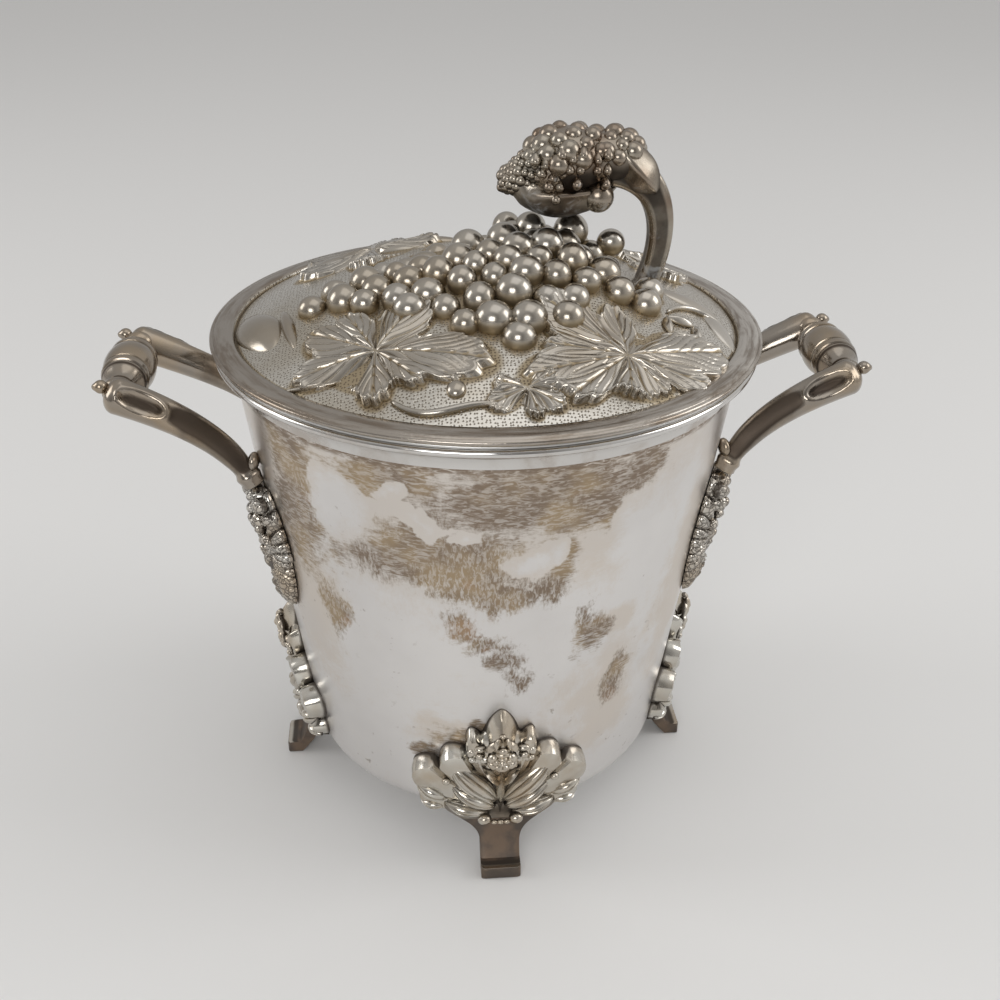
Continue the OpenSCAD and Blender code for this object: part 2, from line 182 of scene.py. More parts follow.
def rounded(name, segments, rings, place):
    clearSelection()
    bpy.ops.mesh.primitive_uv_sphere_add(segments=segments, ring_count=rings, radius=1)
    piece = named(name)
    moveVertices(piece, place)
    bpy.ops.object.shade_smooth()
    return piece


def ball(name, segments, rings, middle, size, relief):
    def place(p):
        return np.array(middle) + p * np.array(size), np.clip(relief(p), 0, 1)

    return rounded(name, segments, rings, place)


def joined(name, pieces):
    clearSelection()
    for piece in pieces:
        piece.select_set(True)
    bpy.context.view_layer.objects.active = pieces[0]
    bpy.ops.object.join()
    whole = named(name)
    whole.data.name = name
    return whole


def turned(name, profile, steps):
    # a section line drawn point by point, then spun round the upright axis
    clearSelection()
    bpy.ops.mesh.primitive_plane_add(size=mm)
    piece = named(name)
    editAll(piece)
    bpy.ops.mesh.merge(type="CENTER")
    start = Vector((profile[0][0], 0, profile[0][1])) * mm
    bpy.ops.transform.translate(value=start)
    for before, after in zip(profile, profile[1:]):
        step = Vector((after[0] - before[0], 0, after[1] - before[1])) * mm
        bpy.ops.mesh.extrude_region_move(TRANSFORM_OT_translate={"value": step})
    bpy.ops.mesh.select_all(action="SELECT")
    bpy.ops.mesh.spin(steps=steps, angle=2 * math.pi, center=(0, 0, 0), axis=(0, 0, 1))
    bpy.ops.object.mode_set(mode="OBJECT")
    closeMesh(piece)
    bpy.ops.object.shade_smooth_by_angle(angle=meshing["sharpAngle"])
    return piece


def arc(centre, radius, start, end, steps):
    angles = np.radians(np.linspace(start, end, steps + 1))
    return [(centre[0] + radius * math.cos(a), centre[1] + radius * math.sin(a)) for a in angles]


def line(start, end, steps):
    start, end = np.array(start), np.array(end)
    return [tuple(start + (end - start) * i / steps) for i in range(1, steps + 1)]


def copied(piece, name, turn=0.0, flipX=False, flipY=False):
    pick(piece)
    bpy.ops.object.duplicate()
    copy = named(name)
    copy.data.name = name
    copy.rotation_euler.z = turn
    copy.scale = (-1 if flipX else 1, -1 if flipY else 1, 1)
    bpy.ops.object.transform_apply(location=False, rotation=True, scale=True)
    if flipX or flipY:
        editAll(copy)
        faceOutwards()
    return copy


def smoothStep(low, high, value):
    t = np.clip((value - low) / (high - low), 0, 1)
    return t * t * (3 - 2 * t)


def ripple(x, y, z, seed):
    # slow hand-raised unevenness, from a few crossing waves
    total = 0
    for i in range(1, 5):
        a, b, c = np.sin(seed * 7.1 + i * 2.3), np.cos(seed * 3.7 + i * 1.9), np.sin(seed + i * 4.1)
        total = total + np.sin((a * x + b * y + c * z) * (0.05 + 0.04 * i) + seed + i) / i
    return total / 2


# Relief elements, laid on the wall or the dome by a function of sideways, height and lift
def petal(lay, base, tip, width, height, lift=0.0, ridge=0.0, belly=1.0, ribs=0, lines=0, fine=1):
    base, tip = np.array(base, float), np.array(tip, float)
    way = tip - base
    side = np.array([-way[1], way[0]]) / np.hypot(*way)

    def place(p):
        along = np.arccos(np.clip(-p[:, 2], -1, 1)) / math.pi
        turn = np.arctan2(p[:, 1], p[:, 0])
        across, rise = np.cos(turn), np.sin(turn)
        reach = np.sin(math.pi * along ** belly) ** 0.65
        top = (1 - ridge) * rise + ridge * (1 - np.abs(across))
        top = np.where(rise > 0, top, 0.3 * rise)
        groove = np.zeros(len(along))
        if ribs:
            phase = math.pi * ribs * (along - 0.3 * np.abs(across))
        if lines:
            phase = math.pi * lines * np.arcsin(np.clip(across, -1, 1)) / math.pi
        if ribs or lines:
            groove = np.exp(-(np.sin(phase) / 0.4) ** 2)
        groove = groove * (rise > 0) * smoothStep(0.02, 0.12, along)
        top = top * (1 - 0.30 * groove)
        spot = base + way * along[:, None] + side * (across * reach * width / 2)[:, None]
        up = lift + height * reach * top
        # painted shade: the upper face is lighter towards its crown, the underside and the grooves darker
        shade = np.where(rise > 0, 0.25 + 0.75 * top * reach, 0.0) * (1 - 0.6 * groove)
        return lay(spot[:, 0], spot[:, 1], up), shade

    return rounded("petal", 14 * fine + 6, 10 * fine + 4, place)


def bead(lay, middle, radius, lift, squash=1.0, fine=1):
    def place(p):
        # painted light and shade: lighter on top, darker below
        spots = lay(middle[0] + radius * p[:, 0], middle[1] + radius * p[:, 1],
                    lift + radius * squash * p[:, 2])
        return spots, 0.25 + 0.75 * np.clip(p[:, 2], 0, 1)

    return rounded("bead", 12 * fine + 4, 8 * fine + 2, place)


def flower(lay, middle, size, lift, count=5):
    middle = np.array(middle)
    parts = []
    for i in range(count):
        way = around(90 + 360 * i / count)
        parts.append(petal(lay, middle + way * size * 0.12, middle + way * size, size * 0.95, size * 0.42,
                           lift, belly=1.5))
    parts.append(bead(lay, middle, size * 0.3, lift + size * 0.3, 0.8))
    return parts


def plate(lay, middle, outline, rise, columns=96, rows=18, topShare=0.7):
    # a closed slab with a polar outline: top out to the edge, then the underside back to the middle
    def place(u, v):
        angle = u * 2 * math.pi
        top = v < topShare
        out = np.clip(np.where(top, v / topShare, (1 - v) / (1 - topShare)), 0, 1)
        reach = outline(angle) * out
        up, shade = rise(angle, out)
        up = np.where(top, up, 0.0)
        spots = lay(middle[0] + reach * np.sin(angle), middle[1] + reach * np.cos(angle), up)
        # painted shade: the underside is set dark
        return spots, np.where(top, shade, 0.0)

    return wrapped("plate", columns, rows, place)


def tube(name, columns, rows, path, section, flatWay=None):
    # path gives a middle line for 0..1, section gives the two offsets (flat, upright) and the painted shade value
    def place(u, v):
        middle = path(v)
        way = path(v + 0.005) - path(v - 0.005)
        way /= np.linalg.norm(way, axis=1)[:, None]
        flat = np.stack([-way[:, 1], way[:, 0], np.zeros(len(v))], 1)
        flat /= np.maximum(np.linalg.norm(flat, axis=1), 1e-6)[:, None]
        if flatWay:
            flat = np.broadcast_to(np.array(flatWay, float), way.shape)
        upright = np.cross(way, flat)
        a, b, shade = section(u * 2 * math.pi, v)
        ends = np.where((v < 1e-6) | (v > 1 - 1e-6), 0.0, 1.0)
        return middle + flat * (a * ends)[:, None] + upright * (b * ends)[:, None], shade

    return wrapped(name, columns, rows, place)


def bezier(points, t):
    p = [np.array(q, float) for q in points]
    t = np.asarray(t)[:, None]
    return (1 - t) ** 3 * p[0] + 3 * t * (1 - t) ** 2 * p[1] + 3 * t * t * (1 - t) * p[2] + t ** 3 * p[3]


# Shader helpers
class Value:
    def __init__(self, shade, socket):
        self.shade = shade
        self.socket = socket

    def __add__(self, other):
        return self.shade.math("ADD", self, other)

    __radd__ = __add__

    def __sub__(self, other):
        return self.shade.math("SUBTRACT", self, other)

    def __rsub__(self, other):
        return self.shade.math("SUBTRACT", other, self)

    def __mul__(self, other):
        return self.shade.math("MULTIPLY", self, other)

    __rmul__ = __mul__


class Shade:
    def __init__(self, name, material=None):
        self.material = material or bpy.data.materials.new(name)
        self.material.use_nodes = True
        self.tree = self.material.node_tree
        self.surface = self.tree.nodes.get("Principled BSDF")

    def add(self, kind, settings=None, sockets=None, out=0):
        node = self.tree.nodes.new(kind)
        for key, value in (settings or {}).items():
            setattr(node, key, value)
        for key, value in (sockets or {}).items():
            self.plug(node.inputs[key], value)
        return Value(self, node.outputs[out])

    def plug(self, socket, value):
        if isinstance(value, Value):
            self.tree.links.new(value.socket, socket)
        else:
            socket.default_value = value

    def math(self, operation, *values):
        return self.add("ShaderNodeMath", {"operation": operation}, dict(enumerate(values)))

    def coords(self):
        return self.add("ShaderNodeTexCoord", out=3)

    def vector(self, operation, *values, out=0):
        return self.add("ShaderNodeVectorMath", {"operation": operation}, dict(enumerate(values)), out)

    def axes(self, source=None):
        split = self.add("ShaderNodeSeparateXYZ", sockets={0: source or self.coords()})
        return [Value(self, socket) for socket in split.socket.node.outputs]

    def stretched(self, scale, turn=(0, 0, 0)):
        return self.add("ShaderNodeMapping", sockets={
            "Vector": self.coords(), "Scale": scale, "Rotation": turn})

    def noise(self, scale, detail=3.0, rough=0.5, coords=None, warp=0.0):
        return self.add("ShaderNodeTexNoise", sockets={
            "Vector": coords or self.coords(), "Scale": scale, "Detail": detail, "Roughness": rough,
            "Distortion": warp})

    def step(self, low, high, value):
        return self.add("ShaderNodeMapRange", {"interpolation_type": "SMOOTHSTEP"}, {
            "Value": value, "From Min": low, "From Max": high, "To Min": 0.0, "To Max": 1.0})

    def mix(self, share, first, second):
        return self.add("ShaderNodeMix", {"data_type": "RGBA"}, {0: share, 6: first, 7: second}, out=2)

    def attribute(self, name):
        return self.add("ShaderNodeAttribute", {"attribute_name": name}, out=2)

    def bump(self, height, strength, distance=0.0004):
        return self.add("ShaderNodeBump", sockets={
            "Height": height, "Strength": strength, "Distance": distance})

    def finish(self, colour, rough, metal=1.0, normal=None):
        self.plug(self.surface.inputs["Base Color"], colour)
        self.plug(self.surface.inputs["Roughness"], rough)
        self.plug(self.surface.inputs["Metallic"], metal)
        if normal:
            self.plug(self.surface.inputs["Normal"], normal)
        return self.material


def rgb(r, g, b):
    return (r, g, b, 1.0)


# Tarnish on the bucket: places given as turn in degrees, height, half width and half height in millimetres
tarnish = {
    "dark": [(-106, 137, 31, 12), (-83, 160, 30, 11), (-72, 153, 13, 11), (-91, 124, 21, 7), (-79, 128, 7, 12),
             (-99, 110, 8, 5), (-94, 104, 6, 6), (-90, 95, 5, 7), (-87, 85, 6, 7), (-70, 104, 8, 11),
             (-142, 142, 12, 24), (-135, 104, 6, 12), (-57, 79, 8, 11), (-116, 165, 16, 6), (-62, 164, 10, 7),
             (60, 130, 40, 18), (130, 118, 34, 20), (20, 148, 26, 12), (-165, 120, 20, 24), (95, 150, 44, 10),
             (-111, 50, 7, 4), (-103, 58, 6, 4), (-97, 66, 5, 4)],
    "bare": [(-127, 155, 12, 13), (-106, 153, 10, 4), (-85, 138, 8, 5), (-58, 141, 12, 16), (-114, 161, 7, 5),
             (-97, 147, 3, 4), (70, 142, 12, 8)],
    "veil": [(-147, 120, 26, 74), (-35, 110, 16, 60), (-60, 72, 20, 40), (-62, 106, 14, 10), (-61, 52, 16, 14),
             (-105, 145, 54, 36), (-80, 150, 54, 36), (100, 120, 60, 50), (-95, 60, 30, 10), (20, 140, 50, 40),
             (170, 130, 50, 44)],
    "clean": rgb(0.80, 0.79, 0.785), "cream": rgb(0.71, 0.645, 0.575), "taupe": rgb(0.27, 0.21, 0.16),
    "gold": rgb(0.42, 0.325, 0.215), "rust": rgb(0.47, 0.29, 0.18), "fleck": rgb(0.22, 0.16, 0.11),
    "dull": rgb(0.66, 0.64, 0.63), "spread": 0.030,
}


def bucketSilver():
    s = Shade("bucketSilver")
    z = s.axes()[2]
    push = s.add("ShaderNodeTexNoise", sockets={"Vector": s.coords(), "Scale": 42.0, "Detail": 5.0}, out=1)
    spread = tarnish["spread"]
    centred = s.vector("ADD", s.coords(), (-spread / 2,) * 3)
    warped = s.vector("MULTIPLY_ADD", push, (spread,) * 3, centred)

    def cover(patches):
        nearest = None
        for degrees, height, wide, tall in patches:
            turn = math.radians(degrees)
            r = wallR(height) * mm
            local = s.add("ShaderNodeMapping", {"vector_type": "TEXTURE"}, {
                "Vector": warped, "Location": (r * math.cos(turn), r * math.sin(turn), height * mm),
                "Rotation": (0, 0, turn), "Scale": (0.05, wide * mm, tall * mm)})
            away = s.vector("LENGTH", local, out=1)
            nearest = away if nearest is None else s.math("MINIMUM", nearest, away)
        return 1 - nearest

    strokes = s.noise(1050, 3, 0.6, s.stretched((1.0, 1.0, 0.36), (0.0, 0.45, 0.0)), warp=0.8)
    hatch = s.noise(1000, 3, 0.6, s.stretched((0.26, 0.26, 1.0), (0.0, 0.15, 0.0)), warp=1.0)
    sweep = s.step(0.44, 0.56, s.noise(34, 2)) * s.step(0.166, 0.150, z)
    fine = strokes * sweep + hatch * (1 - sweep)
    texture = fine * 0.22 + s.noise(170, 5, 0.75) * 0.42 + s.noise(45, 4, 0.6) * 0.36
    dark = s.math("MAXIMUM", cover(tarnish["dark"]), -0.9)
    bare = s.math("MAXIMUM", cover(tarnish["bare"]) + 0.15, 0.0)
    veil = s.math("MAXIMUM", cover(tarnish["veil"]), 0.0)
    neck = s.step(0.146, 0.171, z) * 0.55
    field = dark * 1.05 + (texture - 0.5) * 3.8 - bare * 3.2 + neck + veil * 0.4 + 0.1
    blotch = s.step(0.0, 0.75, field)
    cream = s.step(0.0, 0.7, veil * 1.3 + (texture - 0.5) * 2.2 - bare * 0.8 + neck)
    fleck = s.step(0.64, 0.72, s.noise(260, 3, 0.6)) * s.step(0.45, 0.65, s.noise(25, 3))
    brown = s.mix(s.step(0.40, 0.66, s.noise(48, 3, 0.6)), tarnish["taupe"], tarnish["gold"])
    brown = s.mix(s.step(0.58, 0.72, s.noise(36, 3, 0.6, warp=0.5)) * 0.5, brown, tarnish["rust"])
    colour = s.mix(0.12 + cream * 0.75, tarnish["clean"], tarnish["cream"])
    colour = s.mix(s.step(0.4, 0.62, s.noise(14, 4, 0.6)) * 0.35, colour, tarnish["dull"])
    colour = s.mix(blotch * (0.42 + 0.58 * s.step(0.36, 0.58, fine)), colour, brown)
    colour = s.mix(fleck * 0.6, colour, tarnish["fleck"])
    colour = s.mix(s.step(0.1700, 0.1722, z) * s.step(0.3, 0.6, hatch), colour, tarnish["taupe"])
    rough = 0.27 + 0.12 * blotch + 0.10 * s.noise(70, 4)
    grain = strokes * 0.4 + hatch * 0.3 + s.noise(25, 2) * 0.3
    return s.finish(colour, rough, 1.0, s.bump(grain, 0.22))


def brightSilver():
    s = Shade("brightSilver")
    stain = s.step(0.45, 0.7, s.noise(45, 6, 0.65, warp=0.5))
    rings = s.noise(900, 2, 0.5, s.stretched((0.03, 0.03, 1.0)))
    colour = s.mix(stain * 0.45, rgb(0.66, 0.645, 0.625), rgb(0.36, 0.285, 0.22))
    return s.finish(colour, 0.12 + 0.2 * stain, 1.0, s.bump(rings, 0.06, 0.0003))


def lidSilver(name, tint, stain, dots):
    s = Shade(name)
    relief = s.attribute("relief")
    patina = s.noise(70, 5, 0.6)
    # painted shade with a tarnish colour: gold-brown where the painted shade value is low, in hollows, between
    # parts and on undersides
    deep = s.step(0.62, 0.2, relief + patina * 0.3 - 0.15)
    x, y, _ = s.axes()
    colour = s.mix(s.step(0.35, 0.7, s.noise(28, 4, 0.6)), tint, stain)
    # painted light: the lid's right side is painted paler
    paintedLightRight = s.step(0.015, 0.075, x)
    colour = s.mix(paintedLightRight * 0.4, colour, rgb(0.76, 0.72, 0.66))
    colour = s.mix(deep * 0.85, colour, s.mix(s.noise(40, 3), rgb(0.28, 0.21, 0.13), rgb(0.46, 0.375, 0.235)))
    # painted shade: near black where the painted shade value is below 0, in the groove at the ground's edge, where
    # a tarnish line also lies
    colour = s.mix(s.step(0.0, -0.25, relief), colour, rgb(0.09, 0.07, 0.055))
    rough = 0.16 + 0.3 * deep + 0.12 * patina
    fine = s.noise(500, 4, 0.6) * 0.4
    if dots:
        plain = s.step(1.15, 1.35, relief)
        away = s.math("SQRT", x * x + y * y)
        ringCoords = s.add("ShaderNodeCombineXYZ", sockets={0: x * 0.35, 1: y * 0.35, 2: away * 3.0})
        streak = s.step(0.42, 0.64, s.noise(110, 6, 0.65, ringCoords, 0.4))
        # the border is painted paler on the right as painted light; its streaks are tarnish
        border = s.mix(paintedLightRight, rgb(0.41, 0.37, 0.325), rgb(0.62, 0.58, 0.53))
        colour = s.mix(plain, colour, s.mix(streak * 0.9, border, rgb(0.24, 0.19, 0.145)))
        punch = s.add("ShaderNodeTexVoronoi", {"feature": "F1", "voronoi_dimensions": "2D"}, {
            "Vector": s.coords(), "Scale": 880.0, "Randomness": 0.55})
        pit = s.step(0.31, 0.18, punch) * (1 - plain)
        colour = s.mix(pit * 0.75, colour, rgb(0.14, 0.11, 0.08))
        rough = rough + pit * 0.25
        fine = fine - pit
    return s.finish(colour, rough, 1.0, s.bump(fine, 0.5 if dots else 0.15))


def castSilver(name, tint, dark, polish, chased=0.0):
    s = Shade(name)
    relief = s.attribute("relief")
    patina = s.noise(110, 5, 0.62)
    # painted shade: dark where the painted shade value is low, in hollows, grooves and on undersides
    deep = s.step(0.55, 0.12, relief + patina * 0.35 - 0.17)
    brown = s.step(0.35, 0.68, s.noise(40, 4, 0.6, warp=0.4))
    colour = s.mix(brown * 0.65, tint, s.mix(s.noise(60, 3), rgb(0.34, 0.24, 0.15), rgb(0.50, 0.40, 0.27)))
    colour = s.mix(deep * 0.9, colour, dark)
    worn = s.step(-0.3, -0.7, relief)
    bronze = s.mix(s.step(0.4, 0.65, s.noise(90, 4, 0.6)), rgb(0.135, 0.115, 0.10), rgb(0.23, 0.172, 0.13))
    colour = s.mix(worn, colour, bronze)
    rough = polish + 0.3 * deep + 0.12 * brown
    grain = s.noise(700, 4, 0.65) * 0.5 + s.noise(150, 3) * 0.5
    if chased:
        nicks = s.add("ShaderNodeTexVoronoi", {"feature": "DISTANCE_TO_EDGE"}, {
            "Vector": s.coords(), "Scale": 520.0})
        cut = s.step(0.16, 0.02, nicks)
        colour = s.mix(cut * chased, colour, dark)
        grain = grain * 0.3 - cut * 0.7
    return s.finish(colour, rough, 1.0, s.bump(grain, 0.5 if chased else 0.12))


def finialSilver():
    s = Shade("finialSilver")
    relief = s.attribute("relief")
    x, _, z = s.axes()
    patina = s.noise(130, 5, 0.62)
    # painted shade: dark where the painted shade value is low, in hollows, grooves and on undersides
    deep = s.step(0.6, 0.15, relief + patina * 0.35 - 0.17)
    colour = s.mix(s.step(0.3, 0.7, s.noise(60, 4)), rgb(0.38, 0.345, 0.29), rgb(0.23, 0.17, 0.125))
    colour = s.mix(deep * 0.9, colour, rgb(0.04, 0.033, 0.028))
    # chalky residue: under the bunch and at the branch's foot, none on top
    low = s.step(0.234, 0.224, z) * s.step(0.050, 0.044, x) * 0.12 + s.step(0.210, 0.198, z) * 0.16
    low = low - s.step(0.236, 0.246, z) * 0.4
    chalk = s.step(0.60, 0.74, s.noise(150, 6, 0.7, warp=0.5) + low)
    colour = s.mix(chalk * 0.45, colour, rgb(0.50, 0.52, 0.54))
    rough = 0.24 + 0.3 * deep + 0.35 * chalk
    grain = s.noise(800, 4, 0.65) * 0.4 + chalk * 0.4
    return s.finish(colour, rough, 1.0 - chalk * 0.7, s.bump(grain, 0.2))


def linerSteel():
    s = Shade("linerSteel")
    rings = s.noise(1200, 2, 0.5, s.stretched((0.02, 0.02, 1.0)))
    stain = s.noise(22, 4)
    colour = s.mix(stain, rgb(0.62, 0.62, 0.62), rgb(0.52, 0.51, 0.49))
    return s.finish(colour, 0.28 + 0.15 * rings, 1.0, s.bump(rings, 0.08, 0.0003))


def packingFelt():
    s = Shade("packingFelt")
    fibre = s.noise(900, 6, 0.7, warp=1.5)
    colour = s.mix(fibre, rgb(0.62, 0.57, 0.46), rgb(0.82, 0.78, 0.68))
    return s.finish(colour, 0.95, 0.0, s.bump(fibre, 0.6, 0.001))


def corkDisc():
    s = Shade("corkDisc")
    grit = s.add("ShaderNodeTexVoronoi", {"feature": "F1"}, {"Vector": s.coords(), "Scale": 420.0})
    colour = s.mix(grit, rgb(0.38, 0.24, 0.12), rgb(0.70, 0.52, 0.33))
    return s.finish(colour, 0.85, 0.0, s.bump(grit, 0.5, 0.0008))


wallMaterial = bucketSilver()
brightMaterial = brightSilver()
groundMaterial = lidSilver("chasedGround", rgb(0.66, 0.63, 0.575), rgb(0.52, 0.47, 0.39), True)
reliefMaterial = lidSilver("chasedRelief", rgb(0.48, 0.45, 0.405), rgb(0.39, 0.34, 0.275), False)
handleMaterial = castSilver("handleSilver", rgb(0.33, 0.295, 0.255), rgb(0.055, 0.04, 0.03), 0.16)
footMaterial = castSilver("footSilver", rgb(0.62, 0.60, 0.55), rgb(0.06, 0.048, 0.04), 0.15)
mountMaterial = castSilver("mountSilver", rgb(0.60, 0.575, 0.53), rgb(0.06, 0.048, 0.04), 0.13, 0.7)
finialMaterial = finialSilver()
steelMaterial = linerSteel()
print("materials ready")


def dress(piece, material, body, slot, *nodes):
    piece.data.materials.clear()
    piece.data.materials.append(material)
    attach(piece, body)
    if nodes:
        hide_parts(*nodes)
    return piece


# Bucket: one spun section, outside and inside
def vesselLine(inset, topZ, wallSteps=40):
    turnZ = bucket["baseZ"] + bucket["cornerR"]
    lean = bucket["taper"]
    cornerR = bucket["cornerR"]
    turnR = wallR(turnZ - cornerR * math.sin(lean)) - cornerR * math.cos(lean)
    points = [(0.0, bucket["baseZ"] + inset)]
    points += line(points[0], (turnR, bucket["baseZ"] + inset), 8)
    points += arc((turnR, turnZ), cornerR - inset, -90, -math.degrees(lean), 14)[1:]
    points += line(points[-1], (wallR(topZ) - inset / math.cos(lean), topZ), wallSteps)
    return points


def raisedByHand(piece, amount, seed):
    spots = readVertices(piece) / mm
    radius = np.hypot(spots[:, 0], spots[:, 1])
    push = amount * ripple(spots[:, 0], spots[:, 1], spots[:, 2], seed) * smoothStep(20, 60, radius)
    out = spots[:, :2] / np.maximum(radius, 1e-6)[:, None]
    spots[:, :2] += out * push[:, None]
    writeVertices(piece, spots)


bucketLine = vesselLine(0, bucket["neckZ"]) + vesselLine(bucket["sheet"], bucket["neckZ"])[::-1]
bucketBody = turned("bucketBody", bucketLine, 200)
raisedByHand(bucketBody, 0.12, 2)
dress(bucketBody, wallMaterial, "bucket", "silver_plate", "bucket_shell")

rim = {"step": 0.6, "lipR": 1.4, "innerR": bucket["neckR"] - 1.21}
coveEndR = rimHigh[0] - rim["lipR"]
coveFootR = bucket["neckR"] + rim["step"]
coveH = rimHigh[2] - rimLow[2] - 2 * rim["lipR"]
cove = [(coveFootR + (coveEndR - coveFootR) * (1 - math.cos(a)), rimLow[2] + coveH * math.sin(a))
        for a in np.radians(np.linspace(0, 90, 17))]
rimLine = [(rim["innerR"], rimLow[2]), (coveFootR - 0.3, rimLow[2]), (coveFootR, rimLow[2] + 0.25)] + cove[1:]
rimLine += arc((coveEndR, rimHigh[2] - rim["lipR"]), rim["lipR"], -90, 90, 12)[1:]
rimLine += [(rim["innerR"], rimHigh[2]), (rim["innerR"], rimLow[2])]
rimBand = turned("rimBand", rimLine, 200)
dress(rimBand, brightMaterial, "bucket", "silver_plate", "rim_moulding")

liner = {"sheet": 1.2, "gap": bucket["linerGap"], "lipIn": 0.5}
lipR = linerHigh[0] - liner["lipIn"]
linerLine = vesselLine(liner["gap"], rimHigh[2]) + [(lipR, rimHigh[2])]
linerLine += arc((lipR, linerHigh[2] - liner["sheet"] / 2), liner["sheet"] / 2, -90, 90, 6)
linerLine += vesselLine(liner["gap"] + liner["sheet"], linerHigh[2])[::-1]
linerPot = turned("linerPot", linerLine, 160)
dress(linerPot, steelMaterial, "bucket", "liner_steel", "liner")

for node, material in (("insulation_jacket", packingFelt()), ("base_cushion", corkDisc())):
    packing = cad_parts[node]
    packing.data.materials.clear()
    packing.data.materials.append(material)
print("bucket, rim and liner made")

# Lid: edge wire, inner pan and domed sheet
edgeInnerR = panHigh[0] + 0.15
edgeR, edgeFoot, edgeTop = edgeHigh[0], edgeLow[2], edgeHigh[2]
edgeLine = [(edgeInnerR, edgeFoot), (edgeR - 1.7, edgeFoot), (edgeR - 1.5, edgeFoot + 0.5)]
edgeLine += arc((edgeR - 0.8, edgeFoot + 1.5), 0.8, -90, 70, 8)
edgeLine += [(edgeR - 1.0, edgeTop - 0.75), (edgeR - 1.3, edgeTop - 0.9), (edgeR - 1.6, edgeTop - 0.6),
             (edgeR - 3.0, edgeTop - 0.3), (edgeInnerR, edgeTop - 0.3), (edgeInnerR, edgeFoot)]
plainRelief = 1.6  # marks the plain border for the lid's material
lidEdge = turned("lidEdge", edgeLine, 200)
# painted shade: the edge's underside is set dark; the rest is marked as plain border
moveVertices(lidEdge, lambda p: (p / mm, np.where(p[:, 2] / mm < edgeFoot + 0.8, 0.0, plainRelief)))
dress(lidEdge, groundMaterial, "lid", "silver_plate", "lid_edge")

pan = {"sheet": 0.9, "cornerR": 2.0, "play": 0.8}
linerIn = (liner["gap"] + liner["sheet"]) / math.cos(bucket["taper"])
collarR = wallR(panLow[2]) - linerIn - pan["play"]
collarIn, cornerAt = collarR - pan["sheet"], collarR - pan["cornerR"]
panLine = [(0, panLow[2])] + line((0, panLow[2]), (cornerAt, panLow[2]), 8)
panLine += arc((cornerAt, panLow[2] + pan["cornerR"]), pan["cornerR"], -90, 0, 6)[1:]
panLine += [(collarR, edgeFoot), (panHigh[0], edgeFoot), (panHigh[0], panHigh[2]), (collarIn, panHigh[2])]
panLine += line((collarIn, panHigh[2]), (collarIn, panLow[2] + 3), 3)
panLine += [(collarIn - 2, panLow[2] + pan["sheet"]), (0, panLow[2] + pan["sheet"])]
lidPan = turned("lidPan", panLine, 160)
dress(lidPan, brightMaterial, "lid", "silver_plate", "lid_pan")

# Leaves on the lid, as the solid has them: angle round the lid, share of the ring's radius, then the lobes as
# (angle, share of the leaf's radius, spread in degrees)
vineLeaves = {
    "leafLeft": (-126, 1.15, [(186, 0.87, 30), (142, 0.9, 34), (112, 0.84, 28), (58, 0.97, 40), (-16, 1.23, 32),
                              (-50, 0.71, 26), (-92, 0.71, 34)]),
    "leafRight": (-56, 1.23, [(142, 1.1, 34), (176, 0.87, 24), (200, 1.16, 28), (224, 0.94, 26), (-95, 0.48, 34),
                              (-43, 0.55, 34), (-8, 0.9, 26), (24, 1.29, 34), (92, 0.81, 30)]),
    "leafSmall": (-85, 1.31, [(205, 0.45, 40), (165, 0.35, 34), (-75, 0.35, 36), (-28, 0.42, 40), (30, 0.35, 40)]),
    "leafRearLeft": (142, 0.86, [(200, 0.97, 36), (140, 1.06, 38), (80, 1.03, 36), (20, 0.84, 36),
                                 (255, 0.71, 36)]),
    "leafRearRight": (55, 1.05, [(150, 1.06, 38), (95, 0.9, 34), (40, 0.81, 36), (-20, 1.03, 38),
                                 (215, 0.77, 36)]),
    "leafFarRight": (24, 1.2, [(-60, 0.55, 40), (10, 0.55, 42), (80, 0.58, 42), (150, 0.39, 42),
                               (-120, 0.45, 40)]),
}
leafForm = {"radius": 31.0, "ring": 56.0, "core": 0.4, "lift": 1.1, "camber": 1.6, "tooth": 0.07, "teeth": 34,
            "veinGap": 2.3, "veinSlant": 0.42, "topShare": 0.85}


def leafMiddle(spec):
    return tuple(leafForm["ring"] * spec[1] * around(spec[0]))


def leafReach(lobes, angle):
    core = leafForm["core"]
    reach = 0
    for degrees, share, spread in lobes:
        off = np.abs(np.angle(np.exp(1j * (angle - math.radians(degrees)))))
        near = np.clip(1 - (off / math.radians(spread)) ** 1.6, 0, 1) ** 0.8
        reach = np.maximum(reach, leafForm["radius"] * share * (core + (1 - core) * near))
    return reach


def nearestLobe(lobes, x, y):
    # place along and across the lobe whose middle line is nearest
    best = np.full(len(x), np.inf)
    along, across = np.zeros(len(x)), np.zeros(len(x))
    for degrees, _, spread in lobes:
        c, s = around(degrees)
        far, side = x * c + y * s, -x * s + y * c
        off = np.abs(np.arctan2(side, far)) / spread
        closer = off < best
        best = np.where(closer, off, best)
        along, across = np.where(closer, far, along), np.where(closer, side, across)
    return along, across


